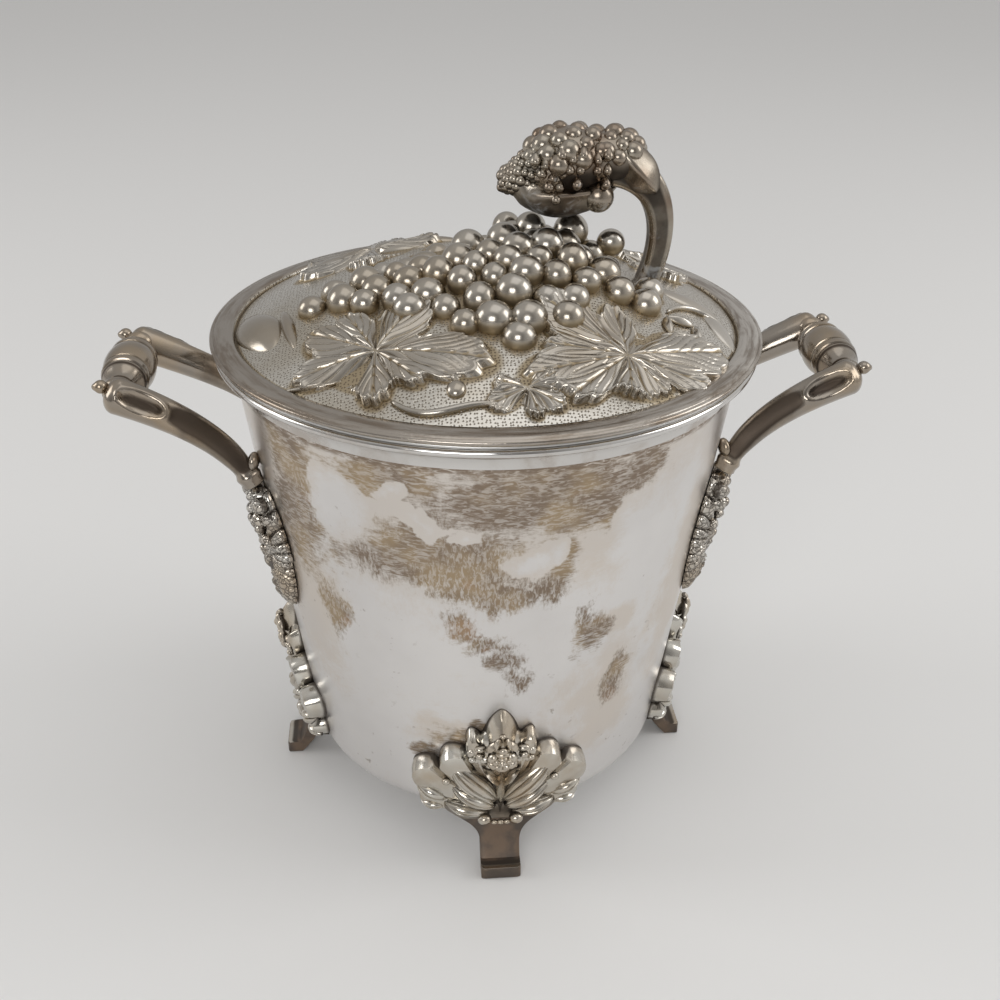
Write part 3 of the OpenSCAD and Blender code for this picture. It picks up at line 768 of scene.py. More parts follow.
def leafAt(name, spec, columns=420, rows=70):
    lobes, middle = spec[2], leafMiddle(spec)

    def place(u, v):
        angle = u * 2 * math.pi
        share = leafForm["topShare"]
        top = v < share
        out = np.clip(np.where(top, v / share, (1 - v) / (1 - share)), 0, 1)
        tooth = 1 - leafForm["tooth"] * (1 - np.abs(np.sin(math.pi * leafForm["teeth"] * u)))
        reach = leafReach(lobes, angle) * tooth * out
        x, y = reach * np.cos(angle), reach * np.sin(angle)
        along, across = nearestLobe(lobes, x, y)
        wide = np.maximum(along * 0.42, 0.6)
        fold = np.clip(1 - (across / wide) ** 2, -0.6, 1)
        sway = 0.6 * np.sin(along * 0.35 + middle[0])
        phase = (np.abs(across) - leafForm["veinSlant"] * along + sway) / leafForm["veinGap"]
        vein = np.exp(-(np.sin(math.pi * phase) / 0.26) ** 2) * smoothStep(2.0, 6.0, along)
        rib = np.exp(-(across / (0.35 + 0.012 * along)) ** 2)
        edgeRoll = 0.5 * np.exp(-((out - 0.92) / 0.05) ** 2)
        up = leafForm["lift"] + leafForm["camber"] * fold - 0.5 * vein - 0.7 * rib + edgeRoll
        up = up + 0.7 * ripple(x, y, x - y, middle[1]) + 0.8 * out * np.sin(3 * angle + middle[0])
        rim = smoothStep(1.0, 0.91, out)
        up = np.where(top, up * rim - 0.3 * (1 - rim), -0.6)
        # painted light and shade: the folds' crowns lighter, the veins, midribs, the rim and the underside darker
        shade = 0.80 + 0.15 * fold - 0.65 * vein - 0.6 * rib
        shade = np.where(top, np.where(out > 0.97, 0.15, shade), 0)
        return onDome(middle[0] + x, middle[1] + y, up), shade

    return wrapped(name, columns, rows, place)


def leafShare(x, y):
    # 1 well inside any leaf, 0 well outside, for the painted shade on the ground around them
    share = np.zeros(len(x))
    for spec in vineLeaves.values():
        middle = leafMiddle(spec)
        dx, dy = x - middle[0], y - middle[1]
        reach = leafReach(spec[2], np.arctan2(dy, dx))
        share = np.maximum(share, smoothStep(1.12, 0.98, np.hypot(dx, dy) / reach))
    return share


# Grapes on the lid, in staggered rows inside a pear-shaped outline that narrows and sways to its tip
# outliers are (x, y) and crown grapes (x, y, radius, lift); behind the crest line the grapes lie lower
bunch = {
    "tipX": -68.0, "length": 118.0, "halfW": 47.0, "tailW": 5.0, "middleY": -8.0, "sway": 9.0, "pitch": 10.4,
    "radius": 5.4, "solidR": 4.9, "lift": 1.0, "rows": range(-6, 7), "columns": 13, "seed": 7,
    "crestSink": 4.2, "jitter": (1.3, 1.3, 0.8, 1.1), "outliers": [(41.0, -24.5), (50.0, -25.0), (53.0, -14.5)],
    "crown": [(7.8, 15.3, 5.4, 5.0), (15.3, 10.2, 5.7, 4.8), (28.5, 7.2, 6.0, 6.4), (41.3, 3.8, 4.8, 7.6)],
    "crest": ([-60, -50, -25, -8, 10, 30], [-17, -11, -11, -3, 11, 20]),
}


def inBunch(x, y):
    share = (x - bunch["tipX"]) / bunch["length"]
    middle = bunch["middleY"] - bunch["sway"] * (1 - share) ** 2
    bulge = math.sin(math.pi * min(max(share, 0), 1) ** 1.6)
    half = bunch["tailW"] + (bunch["halfW"] - bunch["tailW"]) * bulge
    return 0 < share < 1 and abs(y - middle) <= half - bunch["solidR"] * 0.6


def behindCrest(x, y):
    return smoothStep(1, 9, y - np.interp(x, *bunch["crest"]))


def grapePlaces():
    draw = np.random.default_rng(bunch["seed"])
    rowH = bunch["pitch"] * math.sin(math.radians(60))
    places = []
    for row in bunch["rows"]:
        for column in range(bunch["columns"]):
            x = bunch["tipX"] + bunch["pitch"] * (column + (row % 2) / 2 + 0.5)
            y = bunch["middleY"] + rowH * row
            dx, dy, dr, dz = draw.uniform(-1, 1, 4) * bunch["jitter"]
            if inBunch(x, y):
                lift = bunch["lift"] + dz - bunch["crestSink"] * behindCrest(x, y)
                places.append((x + dx, y + dy, bunch["radius"] + dr, lift))
    return places


grapes = grapePlaces() + [(x, y, bunch["radius"], bunch["lift"]) for x, y in bunch["outliers"]]
grapes += bunch["crown"]


def grapeShare(x, y):
    share = np.zeros(len(x))
    for gx, gy, radius, _ in grapes:
        share = np.maximum(share, smoothStep(1.5, 0.9, np.hypot(x - gx, y - gy) / radius))
    return share


def lidGround(spots):
    x, y, z = spots.T
    radius = np.hypot(x, y)
    onTop = z > domeTop(x, y) - 0.3
    inside = (radius < lid["domeR"]) & onTop
    lift = np.where(inside, groundTop(x, y) - domeTop(x, y), 0.0)
    groove = np.exp(-((radius - lid["domeR"] + 0.3) / 0.5) ** 2) * onTop
    hollow = 0.6 * groove
    wave = 0.25 * ripple(x, y, z, 5) * smoothStep(lid["domeR"], lid["domeR"] - 10, radius) * onTop
    moved = spots + np.stack([np.zeros_like(x), np.zeros_like(x), lift - hollow + wave], 1)
    # painted shade: the ground is darker beside leaves and grapes, and darkest in the groove at its edge, where
    # tarnish also lies
    shade = 0.8 - 0.6 * np.maximum(leafShare(x, y), grapeShare(x, y)) * inside
    shade = np.where(radius > lid["domeR"] + 0.45, plainRelief, shade - 1.4 * groove)
    return moved, shade


domeAngle = math.degrees(math.asin(lid["domeR"] / lid["ballR"]))
innerAngle = math.degrees(math.asin((lid["domeR"] - lid["sheet"]) / lid["ballR"]))
borderLine = [(lid["domeR"] + 0.5, lid["domeZ"] + 1.0), (lid["domeR"] + 1.0, lid["domeZ"] + 1.25),
              (panHigh[0] - 2.0, lid["domeZ"] + 1.05), (edgeInnerR, edgeTop - 0.3), (edgeInnerR, panHigh[2])]
sheetLine = arc((0, lid["ballZ"]), lid["ballR"], 90, 90 - domeAngle, 130) + borderLine
sheetLine.append((lid["domeR"] - lid["sheet"], panHigh[2]))
sheetLine += arc((0, lid["ballZ"]), lid["ballR"] - lid["sheet"], 90 - innerAngle, 90, 20)[1:]
lidSheet = turned("lidSheet", sheetLine, 360)
moveVertices(lidSheet, lambda p: lidGround(p / mm))
dress(lidSheet, groundMaterial, "lid", "chased_silver", "lid_shell")
print("lid sheet made")


def grapeAt(spec):
    gx, gy, radius, lift = spec
    middle = onDome(np.array([gx]), np.array([gy]), np.array([lift]))[0]

    def place(p):
        squeeze = 1 - 0.06 * np.sin(gx) * p[:, 0] ** 2 + 0.05 * np.sin(gy) * p[:, 1] * p[:, 2]
        # painted shade: each grape's lower part is darker, its top lighter
        return middle + p * radius * squeeze[:, None], np.clip(0.34 + 0.7 * p[:, 2], 0, 1)

    return rounded("grape", 28, 18, place)


lidGrapes = joined("lidGrapes", [grapeAt(spec) for spec in grapes])
dress(lidGrapes, reliefMaterial, "lid", "chased_silver")
for leafName, leafSpec in vineLeaves.items():
    small = leafName == "leafSmall"
    leafPiece = leafAt(leafName, leafSpec, 220 if small else 420, 44 if small else 70)
    dress(leafPiece, reliefMaterial, "lid", "chased_silver")
print("grapes and leaves made:", len(grapes), "grapes")

# Tendrils and vine stems that curl between the leaves, as points given on the dome
tendrils = {
    "curlLeft": {"points": [(-20, -62), (-12, -72), (-6, -64), (-14, -58)], "thick": 1.3},
    "curlMiddle": {"points": [(-34, -72), (-22, -86), (-14, -74), (0, -79)], "thick": 2.4},
    "twigLeft": {"points": [(-66, -56), (-61, -58), (-56, -59), (-50, -60)], "thick": 1.8},
    "stemRight": {"points": [(58, -24), (66, -10), (78, -12), (80, -24)], "thick": 2.2},
}


def tendrilAt(name, spec):
    def path(t):
        flat = bezier([(p[0], p[1], 0) for p in spec["points"]], np.clip(t, -0.01, 1.01))
        return onDome(flat[:, 0], flat[:, 1], np.full(len(flat), spec["thick"] * 0.25))

    def section(a, t):
        thick = spec["thick"] / 2 * (0.55 + 0.45 * np.sin(math.pi * np.clip(t, 0, 1)))
        # painted light and shade: the upper side lighter, the lower side darker
        return thick * np.cos(a), thick * np.sin(a), 0.45 + 0.45 * np.sin(a)

    return tube(name, 14, 40, path, section)


# broad smooth swellings beside the leaves: start, end, width and height
swells = [((-84, 4), (-71, -33), 15, 4.8), ((-70, -5), (-63.5, -38), 4.6, 3.0),
          ((-66, 38), (-42, 33), 9, 3.2), ((-46, 36), (-22, 29), 8, 3.2),
          ((-30, 44), (-6, 38), 8, 2.6), ((58, -4), (80, -10), 10, 2.2), ((74, -8), (80, -34), 8, 2.2)]
swellParts = [petal(onDome, start, end, width, rise, -0.35 * rise, fine=2)
              for start, end, width, rise in swells]
swellParts.append(bead(onDome, (-14.5, -71.5), 3.0, 0.2, 0.7, 2))
dress(joined("swellings", swellParts), reliefMaterial, "lid", "chased_silver")

for tendrilName, tendrilSpec in tendrils.items():
    dress(tendrilAt(tendrilName, tendrilSpec), reliefMaterial, "lid", "chased_silver")

squareLoop = {"middle": (61.5, -33.0), "half": 7.0, "bar": 2.2}
corners = [np.array(squareLoop["middle"]) + around(45 + 90 * i) * squareLoop["half"] for i in range(5)]
bars = [petal(onDome, start, end, squareLoop["bar"] * 1.6, squareLoop["bar"], 0.3, ridge=0.6)
        for start, end in zip(corners, corners[1:])]
dress(joined("squareLoop", bars), reliefMaterial, "lid", "chased_silver")
print("tendrils made")

# Finial: square branch, boat-shaped underside, grapes over the top, small grapes at the tip, hanging lobes
finial = {
    "y": 5.0, "branchW": 7.4, "arch": [(56.0, 196.0), (63.5, 214.0), (61.5, 233.0), (42.0, 239.0)],
    "core": (27.5, 240.0), "coreSize": (15.0, 13.0, 10.6), "grapeR": 3.4, "grapeCount": 62,
    "shoulder": (40.0, 240.5), "shoulderSize": (13.0, 10.5, 8.5), "shoulderGrapeR": 3.0,
    "tipX": 3.6, "tipLen": 20.0, "tipR": 9.6, "tipZ": 239.0, "tipDrop": 7.0, "seeds": 84, "keelZ": 229.6,
    # hanging lobes: base, tip, width, height, lift off the middle plane and rows of drop-shaped grapes
    "lobes": [((19.5, 244), (22.5, 228.5), 12, 5.0, 7.0, 4), ((26.5, 246), (29, 234), 9, 4.4, 9.0, 3),
              ((34.5, 245), (39, 233.5), 10, 4.6, 7.0, 3)],
    "dropPitch": 3.4,
}


def branchPath(t):
    flat = bezier([(p[0], 0, p[1]) for p in finial["arch"]], t)
    return np.stack([flat[:, 0], np.full(len(flat), finial["y"]), flat[:, 2]], 1)


def branchSection(a, t):
    half = finial["branchW"] / 2 * (1 + 0.95 * np.clip(t, 0, 1) ** 2.2)
    square = 1 / np.maximum(np.abs(np.cos(a)), np.abs(np.sin(a)))
    rounding = np.minimum(square, 1.3)
    # painted highlight on the branch's corners and painted shade towards its end at the bunch
    shade = 0.30 + 0.65 * smoothStep(1.1, 1.28, rounding) - 0.35 * smoothStep(0.5, 0.85, t)
    return half * rounding * np.cos(a), half * rounding * np.sin(a), shade


def finialBall(middle, size):
    # painted light and shade: lighter on top, darker below
    return ball("core", 40, 28, middle, size, lambda p: 0.4 + 0.7 * p[:, 2])


def studded(middle, size, radius, keep, seed):
    # grapes spread evenly over an egg shape, on the part of it that keep allows
    draw = np.random.default_rng(seed)
    parts = []
    golden = math.pi * (3 - math.sqrt(5))
    for i in range(finial["grapeCount"]):
        z = 1 - 2 * (i + 0.5) / finial["grapeCount"]
        flat = math.sqrt(1 - z * z)
        way = np.array([math.cos(golden * i) * flat, math.sin(golden * i) * flat, z])
        jitter = draw.uniform(-1, 1, 3)
        if keep(way):
            spot = np.array(middle) + way * (np.array(size) - radius * 0.35) * (1 + 0.05 * jitter[0])
            # painted light and shade: each grape lighter on its outward face, darker towards the core
            parts.append(ball("grape", 18, 12, spot, radius * (1 + 0.18 * jitter[1]),
                              lambda p, way=way: 0.35 + 0.75 * (p @ way)))
    return parts


def finialFace(way):
    # lays elements on one face of the finial: along the bunch, height, and lift off its middle plane
    return lambda x, z, lift: np.stack([x, finial["y"] + way * lift, z], 1)


branchPiece = tube("finialBranch", 32, 60, branchPath, branchSection, (0, 1, 0))
dress(branchPiece, finialMaterial, "lid", "cast_silver", "finial_branch")
coreAt = (finial["core"][0], finial["y"], finial["core"][1])
shoulderAt = (finial["shoulder"][0], finial["y"], finial["shoulder"][1])


def acornSpot(along, turn, lift):
    # pointed left end of the bunch: share from its root to its tip, turn round it, and lift off it
    radius = finial["tipR"] * np.clip(1 - along ** 1.9, 0, 1) ** 0.75 + lift
    return np.stack([finial["tipX"] + finial["tipLen"] * (1 - along), finial["y"] + radius * np.cos(turn),
                     finial["tipZ"] - finial["tipDrop"] * along ** 1.2 + 0.82 * radius * np.sin(turn)], -1)


def acornPlace(p):
    along, turn = np.clip((1 - p[:, 0]) / 2, 0, 1), np.arctan2(p[:, 2], p[:, 1])
    # painted light and shade: lighter on top
    return acornSpot(along, turn, 0.0), 0.35 + 0.4 * np.clip(p[:, 2], 0, 1)


castParts = [finialBall(coreAt, finial["coreSize"]), finialBall(shoulderAt, finial["shoulderSize"]),
             rounded("acorn", 40, 28, acornPlace)]
castParts += studded(coreAt, finial["coreSize"], finial["grapeR"], lambda w: w[2] > 0.05, 3)
castParts += studded(shoulderAt, finial["shoulderSize"], finial["shoulderGrapeR"],
                     lambda w: w[2] > 0.0 and w[0] > -0.3, 5)
for i in range(finial["seeds"]):
    seedAlong, seedTurn = 0.22 + 0.72 * ((i * 0.618) % 1), math.radians(360 * i / finial["seeds"])
    seedSpot = acornSpot(np.array(seedAlong), np.array(seedTurn), 0.2)
    # painted light and shade on each seed: lighter on top, darker on its rear side
    castParts.append(ball("seed", 14, 10, seedSpot, 1.4 + 0.7 * ((i * 0.37) % 1),
                          lambda p: 0.35 + 0.5 * p[:, 2] - 0.3 * p[:, 1]))


def hullPlace(p):
    along = (p[:, 0] + 1) / 2
    x = 5 + 40 * along
    wide = 11.5 * np.sin(math.pi * along ** 0.9) ** 0.55
    deep = np.where(p[:, 2] < 0, 9.0, 5.0) * np.sin(math.pi * along ** 0.85) ** 0.5
    ring = np.maximum(np.hypot(p[:, 1], p[:, 2]), 1e-6)
    keel = finial["keelZ"] + 11.0 * (along - 0.62) ** 2
    cut = 1 + 0.09 * ripple(2 * x, 16 * p[:, 1] * 4, 16 * p[:, 2] * 4, 3)
    wide, deep = wide * cut, deep * cut
    full = np.minimum(ring * 1.4, 1)
    spots = np.stack([x, finial["y"] + wide * p[:, 1] / ring * full, keel + deep * p[:, 2] / ring * full], 1)
    # painted light and shade: lighter on top, darker underneath
    return spots, 0.5 + 0.3 * p[:, 2]


castParts.append(rounded("hull", 48, 32, hullPlace))
for lay in (finialFace(-1), finialFace(1)):
    for base, tip, width, height, lift, count in finial["lobes"]:
        castParts.append(petal(lay, base, tip, width, height, lift, ridge=0.2, belly=0.9, fine=2))
        base, tip = np.array(base), np.array(tip)
        for row in range(count):
            share = 0.25 + 0.68 * row / (count - 1)
            for k in range(count - row):
                aside = (k - (count - row - 1) / 2) * finial["dropPitch"]
                drop = base + (tip - base) * share + np.array([aside, 0.4 * abs(aside)])
                castParts.append(petal(lay, drop + (0, 2.6), drop - (0.3, 2.4), 3.9, 3.0,
                                       lift + height * 0.62, belly=1.2))
    castParts.append(petal(lay, (41, 247), (57, 229.5), 13, 5.0, 5.6, ridge=1.0, belly=1.1, fine=2))
castParts.append(bead(finialFace(-1), (37.0, 228.8), 5.2, 6.5, 0.9, 2))
castParts.append(bead(finialFace(-1), (17.0, 243.8), 2.9, 4.5, 1.0, 2))
castBunch = joined("finialBunch", castParts)
closeMesh(castBunch)
dress(castBunch, finialMaterial, "lid", "cast_silver", "finial_bunch")
print("finial made")

# Handles: turned grip and scrolled arms
gripMiddle = (gripLow + gripHigh) / 2
gripHalf = (gripHigh[1] - gripLow[1]) / 2
# half of the grip's side line, as (distance from its middle, radius)
gripLine = [
    (0.0, 8.8), (2.0, 8.75), (4.0, 8.5), (5.6, 8.1), (6.0, 7.4), (6.5, 7.4), (6.9, 8.1), (8.2, 8.2), (9.2, 7.9),
    (9.6, 7.0), (10.1, 7.0), (10.5, 7.6), (11.4, 7.4), (13.0, 6.5), (15.0, 5.5), (16.4, 5.0), (gripHalf, 4.9),
]
gripProfile = [(0, -gripHalf)] + [(r, -y) for y, r in gripLine[::-1]]
gripProfile += [(r, y) for y, r in gripLine[1:]] + [(0, gripHalf)]


def gripAt(name, side):
    piece = turned(name, gripProfile, 64)

    def place(p):
        p = p / mm
        radius = np.hypot(p[:, 0], p[:, 1])
        spots = np.stack([side * gripMiddle[0] + p[:, 0], p[:, 2], gripMiddle[2] + p[:, 1]], 1)
        # painted shade: dark in the grip's groove rings, even elsewhere
        return spots, np.where(np.abs(radius - 7.2) < 0.25, 0.0, 0.75)

    moveVertices(piece, place)
    closeMesh(piece)
    return piece


for sideName, side in (("left", -1), ("right", 1)):
    dress(gripAt(sideName + "Grip", side), handleMaterial, "bucket", "cast_silver", sideName + "_grip")

arm = {
    "mountTurn": 19.5, "footW": 7.4, "scrollW": 12.2, "endY": gripHalf + 6.0, "noseLen": 4.4,
    "noseShare": 0.88, "eyeAt": 0.80, "eyeLong": 0.085, "eyeWide": 0.62, "eyeDeep": 2.6, "eyeTurn": 0.55,
}
armWay = around(arm["mountTurn"])
rootX, rootY = armWay * (wallR(mountHigh[2]) + arm["footW"] / 2 + 0.15)
armPoints = [(rootX, rootY, mountHigh[2]), (rootX + 4, rootY, mountHigh[2] + 10),
             (gripMiddle[0] - 30, arm["endY"], gripMiddle[2] - 13),
             (gripMiddle[0], arm["endY"], gripMiddle[2])]
tipWay = np.array(armPoints[3]) - np.array(armPoints[2])
tipWay = tipWay / np.linalg.norm(tipWay)


def armPath(t):
    spots = bezier(armPoints, np.clip(t / arm["noseShare"], -0.01, 1))
    past = np.clip((t - arm["noseShare"]) / (1 - arm["noseShare"]), 0, 1.05) * arm["noseLen"]
    return spots + tipWay * past[:, None]


def armSection(a, t):
    share = np.clip(t / arm["noseShare"], 0, 1)
    half = (arm["footW"] + (arm["scrollW"] - arm["footW"]) * share ** 1.5) / 2
    half = half * (1 - 0.10 * np.exp(-((share - 0.2) / 0.12) ** 2))
    nose = np.clip((t - arm["noseShare"]) / (1 - arm["noseShare"]), 0, 1)
    half = half * np.sqrt(np.maximum(1 - nose ** 2, 0))
    turn = np.angle(np.exp(1j * (a - arm["eyeTurn"])))
    eye = np.sqrt(((t - arm["eyeAt"]) / arm["eyeLong"]) ** 2 + (turn / arm["eyeWide"]) ** 2)
    pit = smoothStep(1.0, 0.62, eye)
    lip = np.exp(-((eye - 1.12) / 0.16) ** 2)
    half = half - arm["eyeDeep"] * pit + 0.55 * lip
    knuckle = 0.7 * np.exp(-((t - 0.10) / 0.04) ** 2)
    # a shallow groove, which also carries a painted dark reflection band
    groove = np.exp(-((turn - 0.15) / 0.62) ** 4) * smoothStep(0.10, 0.18, t) * smoothStep(0.76, 0.66, t)
    half = half + knuckle - 0.35 * groove
    keel = 0.35 * np.cos(2 * a) ** 2
    # painted shade and dark reflection: the middle of the arm, the groove band and the eye's hollow are darkened;
    # the eye's lip gets a painted highlight
    stalk = smoothStep(0.12, 0.20, t) * smoothStep(0.74, 0.60, t)
    shade = 0.72 - 0.6 * pit + 0.25 * lip - 0.66 * groove - 0.32 * stalk
    return (half + keel) * np.cos(a) * 0.96, (half + keel) * np.sin(a), shade


tipAtArm = np.array(armPoints[3]) + tipWay * (arm["noseLen"] + 1.0) + np.array([0, 0, 1.4])


def tipPlace(p):
    # ball that is drawn out to a small point
    spike = np.where(p[:, 0] > 0.75, 1 + 1.2 * (p[:, 0] - 0.75), 1.0)
    even = np.ones_like(spike)
    return tipAtArm + p * 2.3 * np.stack([spike, even, even], 1), np.full(len(p), 0.85)


spurStart = np.array(armPoints[0]) + np.array([1.5, 0.2, 8.0])
spurEnd = np.append(armWay * wallR(spurStart[2]), spurStart[2] + 1.0)


def spurPlace(p):
    aside = np.stack([np.zeros(len(p)), 3.2 * p[:, 1], 3.4 * p[:, 2]], 1)
    return spurStart + (spurEnd - spurStart) * ((p[:, :1] + 1) / 2) + aside, 0.5


collarAt = (gripMiddle[0], arm["endY"] - 2.8, gripMiddle[2])
armModel = joined("armModel", [
    tube("armCore", 48, 120, armPath, armSection), rounded("tip", 24, 16, tipPlace),
    ball("collar", 32, 20, collarAt, (5.6, 4.2, 5.6), lambda p: 0.6), rounded("spur", 24, 16, spurPlace)])
armModel.data.materials.append(handleMaterial)
for sideName, flipX in (("left", True), ("right", False)):
    for endName, flipY in (("Front", True), ("Rear", False)):
        armCopy = copied(armModel, sideName + endName + "Arm", 0.0, flipX, flipY)
        dress(armCopy, handleMaterial, "bucket", "cast_silver", f"{sideName}_{endName.lower()}_arm")
bpy.data.objects.remove(armModel)
print("handles made")

# Handle mounts: a hanging shell with fluted edges, two flowers and a ribbed bud
mount = {"topZ": mountHigh[2], "tipZ": mountLow[2], "halfW": 13.5, "flutes": 22}
mountTop, mountTip = mount["topZ"], mount["tipZ"]


def mountFlute(angle):
    return np.abs(np.cos(angle * mount["flutes"] / 2))


def mountOutline(angle):
    up = np.cos(angle)
    side = np.abs(np.sin(angle))
    half = (mountTop - mountTip) / 2
    reach = 1 / np.sqrt((side / (mount["halfW"] * 0.96)) ** 2 + (up / half) ** 2)
    reach = np.where(up > 0, np.minimum(reach * 1.12, half / np.maximum(up, 1e-3)), reach)
    return reach * (0.91 + 0.08 * mountFlute(angle) ** 0.5)


def mountRise(angle, out):
    flute = mountFlute(angle) ** 0.5
    fluted = smoothStep(0.30, 0.65, out)
    body = 4.6 * np.sqrt(np.clip(1 - out ** 5, 0, 1)) + 0.6
    # painted shade: dark in the middle and in the flutes' hollows, lighter on their ridges
    return body * (1 - 0.42 * fluted * (1 - flute)), 0.1 + 0.75 * fluted * smoothStep(0.25, 0.75, flute)


mountMiddle = (0.0, (mountTop + mountTip) / 2)
mountParts = [plate(onWall, mountMiddle, mountOutline, mountRise, 360, 40)]
for share in (0.22, 0.45, 0.66):
    z = mountTop - (mountTop - mountTip) * share
    for sign in (-1, 1):
        mountParts.append(petal(onWall, (sign * 1.5, z - 3), (sign * (11.5 - 5 * share), z + 3), 6.5, 4.2, 2.6,
                                ridge=0.4, lines=4, fine=2))
mountParts += flower(onWall, (0, mountTop - 13), 6.4, 5.4)
mountParts += flower(onWall, (0, mountTop - 26), 5.2, 4.6)
mountParts += [bead(onWall, (sign * 5.6, mountTop - 19.5), 2.6, 4.6) for sign in (-1, 1)]
mountParts += [bead(onWall, (sign * 6.4, mountTop - 5), 3.0, 4.6) for sign in (-1, 1)]
mountParts.append(petal(onWall, (0, mountTop - 30), (0, mountTip + 1), 9, 4.6, 1.6, ridge=0.6, ribs=5, fine=2))
mountParts += [petal(onWall, (sign * 1.5, mountTop - 31), (sign * 7.5, mountTip + 11), 6, 4.2, 1.2, ridge=0.5,
                     ribs=4) for sign in (-1, 1)]
mountParts.append(petal(onWall, (0, mountTop - 9), (0, mountTop - 0.4), 9, 6.0, 1.6, ridge=0.3))
mountModel = joined("mountModel", mountParts)
for sideName, endName, degrees in (("right", "Rear", arm["mountTurn"]), ("right", "Front", -arm["mountTurn"]),
                                   ("left", "Rear", 180 - arm["mountTurn"]),
                                   ("left", "Front", 180 + arm["mountTurn"])):
    mountCopy = copied(mountModel, sideName + endName + "Mount", math.radians(degrees))
    dress(mountCopy, mountMaterial, "bucket", "cast_silver", f"{sideName}_{endName.lower()}_mount")
bpy.data.objects.remove(mountModel)
print("mounts made")

# Feet: fan of petals, bouquet, ribbed leaves and a plain stem that turns out to the toe
# fan petals are (angle, length, half angle, height, roof share)
# leaves are (base, tip, width, height, lift, lines, fineness), sepals (base, tip, width, height, lift)
# beads are (middle, radius, lift); all of these but the middle beads are the same on both sides
foot = {
    "rootZ": 24.0, "toeR": footHigh[0], "toeH": 5.0, "stemHalf": 7.0,
    "rose": (0, 54.5), "sideRose": (7.2, 55.4),
    "fan": [(0, 49.5, 9.5, 9.0, 1.0), (15, 42, 6, 6.0, 0.5), (32.5, 36.5, 11.5, 6.4, 0.3),
            (56.5, 37.5, 12.5, 6.6, 0.3), (79, 30, 10, 5.2, 0.2)],
    "leaves": [((1.0, 30), (17, 49.5), 10.5, 5.0, 4.2, 6, 5), ((1.5, 27), (16.5, 38), 8, 5.0, 4.4, 5, 5),
               ((4, 24), (19, 28.5), 6.5, 4.6, 4.2, 4, 4), ((17.5, 30), (29, 36), 9.5, 5.0, 3.4, 5, 4),
               ((18, 26), (28, 26.5), 5, 4.4, 3.0, 3, 2)],
    "sepals": [((5.0, 58.5), (0.8, 64.5), 3.2, 2.4, 7.0), ((2.4, 59.5), (1.2, 66.0), 2.4, 2.2, 7.6)],
    "beads": [((5.2, 22.8), 2.4, 7.0), ((2.0, 22.2), 1.1, 8.0), ((9.5, 53.5), 1.3, 6.0),
              ((4.0, 50.5), 1.2, 6.0), ((18, 41), 1.5, 6.0)],
    "middleBeads": [((0, 22.2), 1.2, 8.0), ((0, 61.0), 1.5, 9.2), ((0, 66.0), 1.1, 7.0)],
}


def fanPetal(angle):
    # length, height, roof share and place across (-1 to 1) of the petal at an angle
    off = np.degrees(np.abs(np.angle(np.exp(1j * angle))))
    length, height, roof = np.zeros(len(angle)), np.zeros(len(angle)), np.zeros(len(angle))
    across = np.full(len(angle), 2.0)
    for middle, reach, half, rise, ridge in foot["fan"]:
        here = (off - middle) / half
        nearer = np.abs(here) < np.abs(across)
        across = np.where(nearer, here, across)
        length, height = np.where(nearer, reach, length), np.where(nearer, rise, height)
        roof = np.where(nearer, ridge, roof)
    return length, height, roof, across


def footOutline(angle):
    length, _, roof, across = fanPetal(angle)
    off = np.degrees(np.abs(np.angle(np.exp(1j * angle))))
    fan = length * (1 - (0.08 + 0.13 * roof) * np.clip(np.abs(across), 0, 1) ** (2.0 - 0.5 * roof))
    fan = fan * (1 - 0.05 * (1 - roof) * np.clip(across, -1, 1))
    return np.where(off < 89, fan, np.interp(off, [89, 96, 112, 150, 180], [27, 18, 11, 7.5, 7.0]))


def fanRise(angle, out):
    _, height, roof, across = fanPetal(angle)
    side = np.clip(np.abs(across), 0, 1)
    cross = roof * (1 - side) + (1 - roof) * np.clip((1 - side) * 5, 0, 1)
    dished = smoothStep(0.25, 0.8, out)
    end = np.clip((1 - out) / 0.075, 0, 1) ** 0.8
    thin = 1 - 0.75 * np.clip(roof - 0.3, 0, 1) / 0.7 * smoothStep(0.74, 1.0, out)
    up = 0.5 + height * (0.5 + 0.5 * cross * dished) * end * thin
    # painted shade: dark at the root and in the grooves between petals, lighter on the petal faces; outside the
    # fan a mid painted shade
    shade = 0.08 + 0.85 * smoothStep(0.05, 0.4, cross * end) * smoothStep(0.3, 0.55, out)
    return up, np.where(np.abs(across) > 1.02, 0.35, shade)


footParts = [plate(onWall, (0, foot["rootZ"]), footOutline, fanRise, 480, 60)]
for sign in (-1, 1):
    flip = np.array([sign, 1])
    for base, tip, width, height, lift, lines, fine in foot["leaves"]:
        footParts.append(petal(onWall, flip * base, flip * tip, width, height, lift, ridge=0.2, lines=lines,
                               fine=fine))
    footParts += flower(onWall, flip * foot["sideRose"], 4.4, 5.0)
    for base, tip, width, height, lift in foot["sepals"]:
        footParts.append(petal(onWall, flip * base, flip * tip, width, height, lift, ridge=0.4))
    footParts += [bead(onWall, flip * middle, radius, lift) for middle, radius, lift in foot["beads"]]
footParts.append(petal(onWall, (0, 42), (0, 67), 20, 6.0, 0.5, fine=2))
footParts += flower(onWall, foot["rose"], 5.2, 7.4, 6)
footParts += flower(onWall, foot["rose"], 3.3, 8.8, 5)
footParts.append(petal(onWall, (0, 49), (0, 27.5), 3.8, 4.6, 4.6, ridge=0.7, belly=0.8, fine=2))
footParts += [petal(onWall, (0, 40), (sign * 6.5, 50), 2.6, 4.0, 5.2, ridge=0.5) for sign in (-1, 1)]
footParts += [bead(onWall, *spec) for spec in foot["middleBeads"]]


